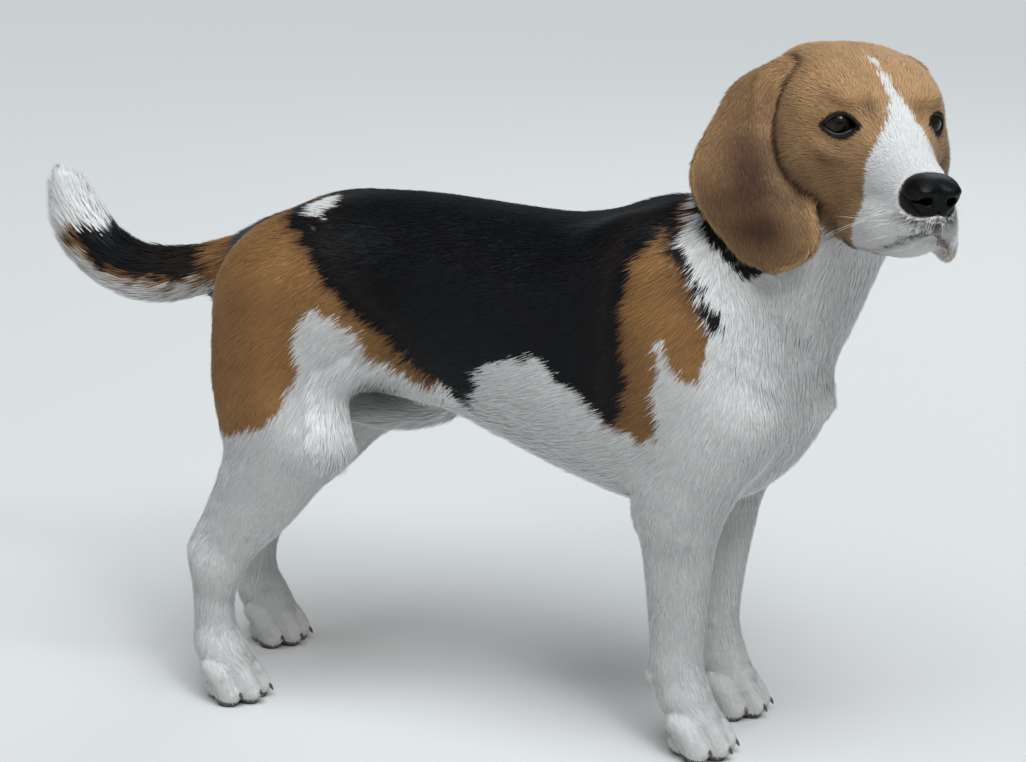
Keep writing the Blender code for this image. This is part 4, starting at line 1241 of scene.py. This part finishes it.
def growCoat(skin):
    mesh = skin.data
    points, normals = pointsOf(mesh), normalsOf(mesh)
    lie, share = coatOver(points, normals, mesh)
    marks = marksOf(points, normals, share)
    storeMarks(mesh, marks)
    root = scatter(mesh, hairOver(points, normals, lie, share, marks))
    middle = root["point"] + root["lie"] * (0.45 * root["length"])[:, None]
    root.update(marksOf(middle, unit(root["normal"]), root["share"]))
    tree = bvhtree.BVHTree.FromPolygons(points.tolist(), trianglesOf(mesh).tolist(), all_triangles=True)
    root["swirl"] = ripple(root["point"], 0.010, 21)
    root["length"] = root["length"] * (1 + 0.08 * ripple(root["point"], 0.014, 22))
    root["lift"] = root["lift"] * (1 + 0.12 * ripple(root["point"], 0.016, 23))
    n = len(root["point"])
    jitter = rng.normal(size=n) * coat["ragged"]
    black = (root["black"] + jitter > 0) | (root["rim"] + 0.4 * jitter > 0)
    tan = ~black & (root["tan"] + jitter > 0)
    bent = root["length"] > coat["bentOver"]
    total = 0
    for name, chosen in coatPieces(root, black, tan).items():
        colour = name[4:9].lower() if "Tan" not in name else "tan" if "Body" in name else "fawn"
        tonedAndShaded = root[{"white": "cream", "black": "brown"}.get(colour, "toneAndShade")]
        groups = [tufts(pickRoots(root, chosen & pick), isBent, tonedAndShaded[chosen & pick], tree)
                  for pick, isBent in ((bent, True), (~bent, False)) if (chosen & pick).any()]
        obj = tuftObject(name, groups)
        declare(obj, furMaterial(colour), "coat_" + colour.replace("fawn", "tan"))
        total += len(obj.data.polygons)
        print(name, len(obj.data.polygons), "triangles")
    print("coat", total, "triangles,", n, "tufts")


def storeMarks(mesh, marks):
    # black, tan, bare leather and tone (which holds painted light and shade on the head and the ears), with
    # edges as soft as the coat's are ragged
    soft = 0.0014
    rim = np.clip(0.5 + (marks["rim"] - 0.0002) / 0.0012, 0, 1)
    leather = np.maximum(rim, hump((marks["lips"], 0.0024)))
    leather = np.maximum(leather, np.clip((1.16 - noseGap(pointsOf(mesh))) / 0.06, 0, 1))
    black, tan = (np.clip(0.5 + marks[name] / soft, 0, 1) for name in ("black", "tan"))
    values = np.stack([black, tan, np.clip(leather, 0, 1), marks["toneAndShade"]], -1)
    storeColours(mesh, "marks", values.astype(np.float32))


# materials

# each root colour is darker than its tip: painted shade deep in the coat
furColours = {   # root, tip, and the colour that the tone shifts them to
    "white": ((0.62, 0.61, 0.60), (0.82, 0.82, 0.815), (0.34, 0.22, 0.12)),
    "tan": ((0.25, 0.115, 0.036), (0.53, 0.278, 0.095), (0.095, 0.038, 0.018)),
    "fawn": ((0.29, 0.150, 0.060), (0.64, 0.400, 0.205), (0.085, 0.041, 0.023)),
    "black": ((0.0025, 0.0025, 0.003), (0.006, 0.0065, 0.008), (0.050, 0.028, 0.017)),
}
furFinish = {   # how rough, how much tufts differ, specular, sheen and the sheen's roughness
    "white": (0.65, 0.11, 0.25, 0.05, 0.35), "tan": (0.62, 0.22, 0.25, 0.05, 0.35),
    "fawn": (0.62, 0.22, 0.25, 0.05, 0.35), "black": (0.44, 0.35, 0.14, 0.15, 0.35),
}
sheenTint = (0.8, 0.9, 1.0)
# the grey of dark speckles, and of the painted shadow under the jaw
speckleAndShadowGrey = (0.050, 0.047, 0.052)
# the white skin is darker than the white coat's tips: painted shade under the tufts
skinColours = {
    "white": (0.60, 0.585, 0.57), "tan": (0.28, 0.15, 0.055), "deepTan": (0.09, 0.040, 0.021),
    "black": (0.006, 0.006, 0.007), "leather": (0.010, 0.008, 0.008),
}


def rgba(colour):
    return (*colour, 1.0)


def newGroup(name, inputs, outputs):
    group = bpy.data.node_groups.new(name, "ShaderNodeTree")
    for socket, kind, value in inputs:
        made = group.interface.new_socket(name=socket, in_out="INPUT", socket_type=kind)
        if value is not None:
            made.default_value = value
    for socket, kind in outputs:
        group.interface.new_socket(name=socket, in_out="OUTPUT", socket_type=kind)
    return group, group.nodes.new("NodeGroupInput"), group.nodes.new("NodeGroupOutput")


def feed(links, socket, value):
    # from another node, or a plain value
    if isinstance(value, bpy.types.NodeSocket):
        links.new(value, socket)
    else:
        socket.default_value = value


def mixColours(nodes, links, factor, first, second, way="MIX"):
    mix = nodes.new("ShaderNodeMix")
    mix.data_type, mix.blend_type = "RGBA", way
    for place, value in ((0, factor), (6, first), (7, second)):
        feed(links, mix.inputs[place], value)
    return mix.outputs[2]


def mathNode(nodes, links, way, *values):
    node = nodes.new("ShaderNodeMath")
    node.operation = way
    for socket, value in zip(node.inputs, values):
        feed(links, socket, value)
    return node.outputs[0]


def noiseNode(nodes, links, scale, detail, stretch=(1, 1, 1)):
    where = nodes.new("ShaderNodeTexCoord")
    spread = nodes.new("ShaderNodeMapping")
    spread.inputs["Scale"].default_value = stretch
    noise = nodes.new("ShaderNodeTexNoise")
    noise.inputs["Detail"].default_value = detail
    links.new(where.outputs["Object"], spread.inputs["Vector"])
    links.new(spread.outputs["Vector"], noise.inputs["Vector"])
    links.new(scale, noise.inputs["Scale"])
    return noise.outputs["Fac"]


def storedColour(nodes, links, name):
    # colours stored on the points: the node itself, and its first three channels
    stored = nodes.new("ShaderNodeAttribute")
    stored.attribute_name = name
    parts = nodes.new("ShaderNodeSeparateColor")
    links.new(stored.outputs["Color"], parts.inputs["Color"])
    return stored, parts.outputs


def strandGroup():
    # colour of a tuft from its root to its tip, darker at the root as painted shade deep in the coat, with
    # its own tone (and the painted light and shade it holds) and a little chance
    if "strandTint" in bpy.data.node_groups:
        return bpy.data.node_groups["strandTint"]
    inputs = [(name, "NodeSocketColor", None) for name in ("Root", "Tip", "Shifted", "SpeckleAndShadow")]
    inputs.append(("Chance", "NodeSocketFloat", 0.3))
    group, start, end = newGroup("strandTint", inputs, [("Color", "NodeSocketColor")])
    nodes, links = group.nodes, group.links
    strand, parts = storedColour(nodes, links, "strand")
    along = mathNode(nodes, links, "POWER", parts[0], 0.7)
    base = mixColours(nodes, links, along, start.outputs["Root"], start.outputs["Tip"])
    tonedAndShaded = mixColours(nodes, links, parts[1], base, start.outputs["Shifted"])
    grey = mixColours(nodes, links, strand.outputs["Alpha"], tonedAndShaded, start.outputs["SpeckleAndShadow"])
    low = mathNode(nodes, links, "SUBTRACT", 1.0, start.outputs["Chance"])
    gain = mathNode(nodes, links, "MULTIPLY_ADD", parts[2], start.outputs["Chance"], low)
    shade = nodes.new("ShaderNodeCombineColor")
    for i in range(3):
        links.new(gain, shade.inputs[i])
    links.new(mixColours(nodes, links, 1.0, grey, shade.outputs[0], "MULTIPLY"), end.inputs["Color"])
    return group


def grainGroup():
    # fine streaks and pores, as a height, with the wander that breaks up an edge
    if "grain" in bpy.data.node_groups:
        return bpy.data.node_groups["grain"]
    inputs = [("Scale", "NodeSocketFloat", 400.0), ("Wander Scale", "NodeSocketFloat", 60.0)]
    outputs = [("Height", "NodeSocketFloat"), ("Wander", "NodeSocketFloat")]
    group, start, end = newGroup("grain", inputs, outputs)
    nodes, links = group.nodes, group.links
    links.new(noiseNode(nodes, links, start.outputs["Scale"], 3.0, (0.35, 1, 0.6)), end.inputs["Height"])
    links.new(noiseNode(nodes, links, start.outputs["Wander Scale"], 2.0), end.inputs["Wander"])
    return group


def newMaterial(name, roughness, colour=None, specular=None, **layers):
    # layers: coat or sheen, as its weight and its roughness
    made = bpy.data.materials.new(name)
    made.use_nodes = True
    shader = made.node_tree.nodes["Principled BSDF"]
    shader.inputs["Roughness"].default_value = roughness
    if colour:
        shader.inputs["Base Color"].default_value = rgba(colour)
    if specular is not None:
        shader.inputs["Specular IOR Level"].default_value = specular
    for layer, (weight, rough) in layers.items():
        shader.inputs[layer.title() + " Weight"].default_value = weight
        shader.inputs[layer.title() + " Roughness"].default_value = rough
    return made, made.node_tree.nodes, made.node_tree.links, shader


def addGroup(nodes, group):
    node = nodes.new("ShaderNodeGroup")
    node.node_tree = group
    return node


def addBump(nodes, links, shader, height, distance, strength):
    bump = nodes.new("ShaderNodeBump")
    bump.inputs["Distance"].default_value = distance
    bump.inputs["Strength"].default_value = strength
    links.new(height, bump.inputs["Height"])
    links.new(bump.outputs["Normal"], shader.inputs["Normal"])


def furMaterial(colour):
    name = colour + "Fur"
    if name in bpy.data.materials:
        return bpy.data.materials[name]
    rough, chance, specular, sheen, soft = furFinish[colour]
    made, nodes, links, shader = newMaterial(name, rough, None, specular, sheen=(sheen, soft))
    shader.inputs["Sheen Tint"].default_value = rgba(sheenTint)
    tint = addGroup(nodes, strandGroup())
    for socket, value in zip(("Root", "Tip", "Shifted", "SpeckleAndShadow"), (*furColours[colour], speckleAndShadowGrey)):
        tint.inputs[socket].default_value = rgba(value)
    tint.inputs["Chance"].default_value = chance
    links.new(tint.outputs["Color"], shader.inputs["Base Color"])
    return made


def skinMaterial():
    made, nodes, links, shader = newMaterial("skin", 0.7, None, 0.2)
    marks, parts = storedColour(nodes, links, "marks")
    grain = addGroup(nodes, grainGroup())
    plain = {name: rgba(colour) for name, colour in skinColours.items()}
    # deeper tan by the tone, which holds painted shadow beside the ears, painted shade on the cheeks and
    # painted light on the forehead
    tan = mixColours(nodes, links, marks.outputs["Alpha"], plain["tan"], plain["deepTan"])
    colour = mixColours(nodes, links, parts[1], plain["white"], tan)
    colour = mixColours(nodes, links, parts[0], colour, plain["black"])
    colour = mixColours(nodes, links, parts[2], colour, plain["leather"])
    links.new(colour, shader.inputs["Base Color"])
    addBump(nodes, links, shader, grain.outputs["Height"], 0.0006, 0.6)
    return made


# nose, eyes, claws, pads and whiskers

noseLeather = {
    "middle": np.array([0.1080, 0.0, -0.0076]), "radii": np.array([0.0135, 0.0182, 0.0124]),
    "below": 0.0148, "lean": 0.0055, "step": 0.0007, "colour": (0.0010, 0.0012, 0.0016),
    "nostril": (0.1175, 0.0082, -0.0085), "slitEnd": (0.1115, 0.0160, -0.0104),
    "slitRight": 0.0010, "slitLeft": 0.0005,     # the far one is thin, or it would notch the outline
}


def makeNose():
    n = noseLeather
    _, low, high = ball(n["middle"], n["radii"])

    def squarer(q):
        # fuller at the top and narrower towards the lip
        mid = n["middle"]
        tall = np.where(q[:, 2] < mid[2], n["below"], n["radii"][2])
        down = np.clip((mid[2] - q[:, 2]) / tall, 0, 1)
        x = (q[:, 0] - mid[0] - n["lean"] * down**2) / n["radii"][0]
        y, z = q[:, 1] * (1 + 0.75 * down**1.4) / n["radii"][1], (q[:, 2] - mid[2]) / tall
        k = (np.abs(x)**2.4 + np.abs(y)**2.5 + np.abs(z)**2.5)**(1 / 2.5) + 1e-9
        return (1 - 1 / k) * np.linalg.norm(q - mid, axis=1)

    masses = [((squarer, low - 0.003, high + 0.003), 0.001, 0, 1)]
    a, b, c = n["nostril"]
    for side, thin in ((-1, n["slitRight"]), (1, n["slitLeft"])):
        wing = ball((a, side * b * 1.05, c + 0.0058), (0.0050, 0.0062, 0.0030))
        hole = ball((a + 0.002, side * b, c), (0.0062, 0.0034, 0.0028))
        ea, eb, ec = n["slitEnd"]
        slit = [(a + 0.001, side * b, c, 0.0022, 0.0022),
                (a - 0.002, side * (b + 0.0052), c - 0.0008, 1.4 * thin, 1.4 * thin),
                (ea, side * eb, ec, thin, thin)]
        masses += [(wing, 0.004, 0, 1), (hole, 0.0018, 0, -1), (limb(slit), 0.0012, 0, -1)]
    groove = mm([(124.5, 0, -4, 0.8, 0.8), (123, 0, -12, 0.9, 0.9), (119, 0, -20.5, 1, 1)])
    masses.append((limb(groove), 0.0016, 0, -1))
    points, quads = meshOnGrid(masses, low - 0.006, high + 0.006, n["step"])
    obj = newObject("noseLeather", newMesh("noseLeather", fromHead(points), quads))
    made, nodes, links, shader = newMaterial("wetLeather", 0.42, n["colour"], 0.12, coat=(0.06, 0.3))
    pores = nodes.new("ShaderNodeTexVoronoi")
    pores.inputs["Scale"].default_value = 900
    where = nodes.new("ShaderNodeTexCoord")
    links.new(where.outputs["Object"], pores.inputs["Vector"])
    addBump(nodes, links, shader, pores.outputs["Distance"], 0.0004, 0.5)
    declare(obj, made, "nose_leather", "head_nose")


eyes = {
    "iris": 0.0075, "pupil": 0.0034, "bulge": 0.0006, "look": 18, "irisInner": (0.022, 0.010, 0.005),
    "irisOuter": (0.009, 0.004, 0.0025), "white": (0.035, 0.024, 0.02), "ring": (0.002, 0.0015, 0.0015),
}


def makeEye(side):
    name = "eyeRight" if side < 0 else "eyeLeft"
    bpy.ops.mesh.primitive_uv_sphere_add(segments=64, ring_count=48, radius=1)
    obj = bpy.context.object
    obj.name = obj.data.name = name
    co = pointsOf(obj.data)
    r = np.hypot(co[:, 0], co[:, 1])
    co *= form["eyeRadius"]
    front = co[:, 2] > 0
    iris = eyes["iris"] / form["eyeRadius"]
    co[:, 2] += np.where(front, eyes["bulge"] * np.clip(1 - (r / (iris * 1.1))**2, 0, 1), 0)
    a = radians(eyes["look"])
    gaze = np.array([cos(a), side * sin(a), 0.02]) @ headAxes
    turn = np.array(Vector(gaze.tolist()).to_track_quat("Z", "Y").to_matrix())
    level = np.ones((len(co), 4), np.float32)
    level[:, 0] = np.where(front, r, 2.0)
    setPoints(obj.data, co @ turn.T + eyeCentre(side))
    storeColours(obj.data, "eyeRadius", level)
    smoothShade(obj.data)
    declare(obj, eyeMaterial(), "eye", "eye_right" if side < 0 else "eye_left")


def eyeMaterial():
    if "wetEye" in bpy.data.materials:
        return bpy.data.materials["wetEye"]
    made, nodes, links, shader = newMaterial("wetEye", 0.3, None, 0.1, coat=(0.6, 0.03))
    shader.inputs["Coat IOR"].default_value = 1.33
    _, parts = storedColour(nodes, links, "eyeRadius")
    ramp = nodes.new("ShaderNodeValToRGB")
    iris, pupil = eyes["iris"] / form["eyeRadius"], eyes["pupil"] / form["eyeRadius"]
    stops = [(0.0, "ring"), (pupil, "ring"), (pupil + 0.03, "irisInner"), (iris - 0.06, "irisOuter"),
             (iris, "ring"), (iris + 0.06, "white")]
    while len(ramp.color_ramp.elements) < len(stops):
        ramp.color_ramp.elements.new(0.5)
    for element, (place, colour) in zip(ramp.color_ramp.elements, stops):
        element.position, element.color = place, rgba(eyes[colour])
    links.new(parts[0], ramp.inputs["Fac"])
    links.new(ramp.outputs["Color"], shader.inputs["Base Color"])
    return made


def tube(path, radii, sides=10):
    # a closed tube along a path, round at its ends
    path, radii = np.asarray(path, float), np.asarray(radii, float)
    way = unit(np.gradient(path, axis=0))
    across = unit(np.cross(way, [0.13, 0.27, 0.95]))
    up = np.cross(way, across)
    turn = 2 * np.pi * np.arange(sides) / sides
    circle = across[:, None] * np.cos(turn)[None, :, None] + up[:, None] * np.sin(turn)[None, :, None]
    rings = path[:, None] + radii[:, None, None] * circle
    ends = path[0] - way[0] * radii[0] * 0.4, path[-1] + way[-1] * radii[-1] * 0.4
    points = [*rings.reshape(-1, 3), *ends]
    faces = []
    n = len(path)
    for i in range(n - 1):
        for j in range(sides):
            a, b = i * sides + j, i * sides + (j + 1) % sides
            faces += [(a, b, b + sides), (a, b + sides, a + sides)]
    for j in range(sides):
        faces.append((n * sides, (j + 1) % sides, j))
        faces.append((n * sides + 1, (n - 1) * sides + j, (n - 1) * sides + (j + 1) % sides))
    return np.array(points), np.array(faces)


def gatheredObject(name, shapes):
    # one object from several closed shapes, each as its points and its triangles
    starts = np.cumsum([0] + [len(points) for points, _ in shapes])
    points = np.concatenate([points for points, _ in shapes])
    faces = np.concatenate([faces + start for (_, faces), start in zip(shapes, starts)])
    return newObject(name, newMesh(name, points, faces))


def makeLidMargins():
    # the dark wet edge of the lids, round each opening
    shapes = []
    for side in (-1, 1):
        out, outer, up = eyeFrame(side)
        share = np.linspace(-1, 1, 33)
        for tall, sign in ((lids["upper"], 1), (lids["lower"], -1)):
            across = share * lids["halfWidth"] * 1.02 - lids["inward"]
            high = sign * tall * (1 - np.abs(share)**lids["point"])
            reach = form["eyeRadius"] + lids["marginOut"]
            deep = np.sqrt(np.maximum(reach**2 - across**2 - high**2, 0.0045**2))
            path = eyeCentre(side) + deep[:, None] * out + across[:, None] * outer + high[:, None] * up
            shapes.append(tube(path, lids["margin"] * np.clip(1.15 - share**4, 0.3, 1), 8))
    obj = gatheredObject("lidMargins", shapes)
    declare(obj, newMaterial("lidLeather", 0.42, lids["colour"], 0.35, coat=(0.15, 0.2))[0], "nose_leather")


claws = {"length": 0.0086, "radius": 0.0020, "droop": 30, "steps": 9, "colour": (0.075, 0.058, 0.052)}


def pawPlaces():
    # word for its claws, forward, sideways and size
    fore, hind, out = form["forePastern"], form["hindPastern"], form["hindTrack"]
    return [("fore_right", fore, -form["foreTrack"], 1.0), ("fore_left", fore, form["foreTrack"], 1.0),
            ("hind_right", hind, -out, 0.97), ("hind_left", hind - form["leftHindBack"], out, 0.97)]


def makeClaws():
    shapes, nodes = [], []
    for word, x, y, size in pawPlaces():
        for number, (sideways, forward) in enumerate(toes, 1):
            nodes.append("claw_" + word + "_" + str(number))
            start = np.array([x + 0.0225 + forward + 0.0040, y + 1.06 * sideways * size, 0.0115])
            t = np.linspace(0, 1, claws["steps"])
            bend = np.radians(8 + claws["droop"] * 2 * t)
            step = claws["length"] / (len(t) - 1)
            way = np.stack([np.cos(bend), 0.12 * np.sign(sideways) * np.cos(bend), -np.sin(bend)], -1)
            path = start + np.cumsum(step * way, 0)
            shapes.append(tube(path, claws["radius"] * (1 - 0.75 * t**1.6), 12))
    obj = gatheredObject("claws", shapes)
    made, _, _, shader = newMaterial("horn", 0.32, claws["colour"])
    shader.inputs["Coat Weight"].default_value = 0.2
    declare(obj, made, "claw", *nodes)


def makePads():
    # leathery pads: one under each toe and a larger one behind them
    pads = []
    for _, x, y, size in pawPlaces():
        for sideways, forward in toes:
            pads.append(((x + 0.021 + forward, y + 1.04 * sideways * size), (0.0085, 0.0062, 0.0056)))
        pads.append(((x - 0.001, y), (0.0120, 0.0125, 0.0064)))
    shapes = []
    for (x, y), radii in pads:
        bpy.ops.mesh.primitive_uv_sphere_add(segments=20, ring_count=12, radius=1)
        ballObj = bpy.context.object
        co = pointsOf(ballObj.data) * radii + (x, y, 0.0042)
        co[:, 2] = np.maximum(co[:, 2], 0)
        shapes.append((co, trianglesOf(ballObj.data)))
        bpy.data.objects.remove(ballObj)
    obj = gatheredObject("pads", shapes)
    made, nodes, links, shader = newMaterial("padLeather", 0.7, (0.045, 0.035, 0.034))
    addBump(nodes, links, shader, addGroup(nodes, grainGroup()).outputs["Height"], 0.0005, 0.7)
    declare(obj, made, "nose_leather")


whiskers = {"number": 9, "length": 0.034, "radius": 0.00016, "colour": (0.75, 0.72, 0.68)}


def makeWhiskers():
    draw = np.random.default_rng(31)
    shapes = []
    for side in (-1, 1):
        for _ in range(whiskers["number"]):
            a = draw.uniform(0.082, 0.106)
            c = draw.uniform(-0.036, -0.020)
            start = np.array([a, side * (0.0265 - 0.55 * (a - 0.082)), c])
            out = unit(np.array([draw.uniform(-0.2, 0.5), side, draw.uniform(-0.35, 0.25)]))
            t = np.linspace(0, 1, 9)[:, None]
            long = whiskers["length"] * draw.uniform(0.5, 1)
            path = start + long * (out * t + np.array([-0.25, 0, -0.2]) * t**2)
            shapes.append(tube(fromHead(path), whiskers["radius"] * (1.05 - t[:, 0]), 5))
    obj = gatheredObject("whiskers", shapes)
    declare(obj, newMaterial("whiskerHair", 0.4, whiskers["colour"])[0], "coat_white")


# floor, lights and camera

studio = {
    "floor": (0.62, 0.62, 0.61), "backdrop": (0.60, 0.61, 0.62),
    "air": (0.93, 0.96, 1.0), "airStrength": 0.135,
    "sky": {"from": (0.25, -0.40, 1.0), "strength": 3.25, "angle": 50, "colour": (0.90, 0.96, 1.0)},
    "lights": [   # name, place, size, power, colour
        ("keyLight", (1.2, -1.3, 1.9), 0.5, 12, (1.0, 0.98, 0.95)),
        ("fillLight", (-2.0, -1.5, 1.2), 1.6, 6.5, (1.0, 1.0, 1.0)),
        ("backLight", (0.2, 2.0, 1.7), 1.2, 9, (0.95, 0.98, 1.0)),
    ],
    "target": (0.004, 0.0, 0.240), "azimuth": 20.95, "elevation": 14.85, "distance": 2.0, "lens": 100.32,
}


def inScene(name, data, along, place=(0, 0, 0)):
    # a light or a camera that looks along the given way
    obj = newObject(name, data)
    obj.location = place
    obj.rotation_euler = along.to_track_quat("-Z", "Y").to_euler()
    return obj


def makeStudio():
    bpy.ops.mesh.primitive_plane_add(size=30)
    floor = bpy.context.object
    floor.name = "floor"
    floor.data.materials.append(newMaterial("palePaper", 0.85, studio["floor"])[0])
    for name, place, size, power, colour in studio["lights"]:
        light = bpy.data.lights.new(name, "AREA")
        light.shape, light.size, light.energy, light.color = "DISK", size, power, colour
        inScene(name, light, Vector((0, 0, 0.25)) - Vector(place), place)
    sky, light = studio["sky"], bpy.data.lights.new("skyLight", "SUN")
    light.energy, light.angle, light.color = sky["strength"], radians(sky["angle"]), sky["colour"]
    inScene("skyLight", light, -Vector(sky["from"]))
    makeAir()
    az, el = radians(studio["azimuth"]), radians(studio["elevation"])
    back = Vector((sin(az) * cos(el), -cos(az) * cos(el), sin(el)))
    place = Vector(studio["target"]) + toFrame + back * studio["distance"]
    view = inScene("camera", bpy.data.cameras.new("camera"), -back, place)
    view.data.lens, view.data.sensor_width = studio["lens"], 36
    bpy.context.scene.camera = view
    bpy.context.scene.view_settings.view_transform = "Standard"


def makeAir():
    # light from all round, with a backdrop of its own for the camera
    world = bpy.data.worlds.new("air")
    bpy.context.scene.world = world
    world.use_nodes = True
    nodes, links = world.node_tree.nodes, world.node_tree.links
    air, seen = nodes["Background"], nodes.new("ShaderNodeBackground")
    air.inputs["Color"].default_value = rgba(studio["air"])
    air.inputs["Strength"].default_value = studio["airStrength"]
    seen.inputs["Color"].default_value = rgba(studio["backdrop"])
    mix, path = nodes.new("ShaderNodeMixShader"), nodes.new("ShaderNodeLightPath")
    for place, source in enumerate((path.outputs["Is Camera Ray"], air.outputs[0], seen.outputs[0])):
        links.new(source, mix.inputs[place])
    links.new(mix.outputs[0], nodes["World Output"].inputs["Surface"])


skin = makeSkin()
print("skin", len(skin.data.vertices), "points", len(trianglesOf(skin.data)), "triangles")
growCoat(skin)
ownPieces = ("claw_", "eye_", "head_nose")
flesh = [name for name in frame["nodes"] if not name.startswith(ownPieces)]
declare(skin, skinMaterial(), "coat_white", *flesh)
makeNose()
makeEye(-1)
makeEye(1)
makeLidMargins()
makeClaws()
makePads()
makeWhiskers()
print("nose, eyes, lids, claws, pads and whiskers made")
makeStudio()
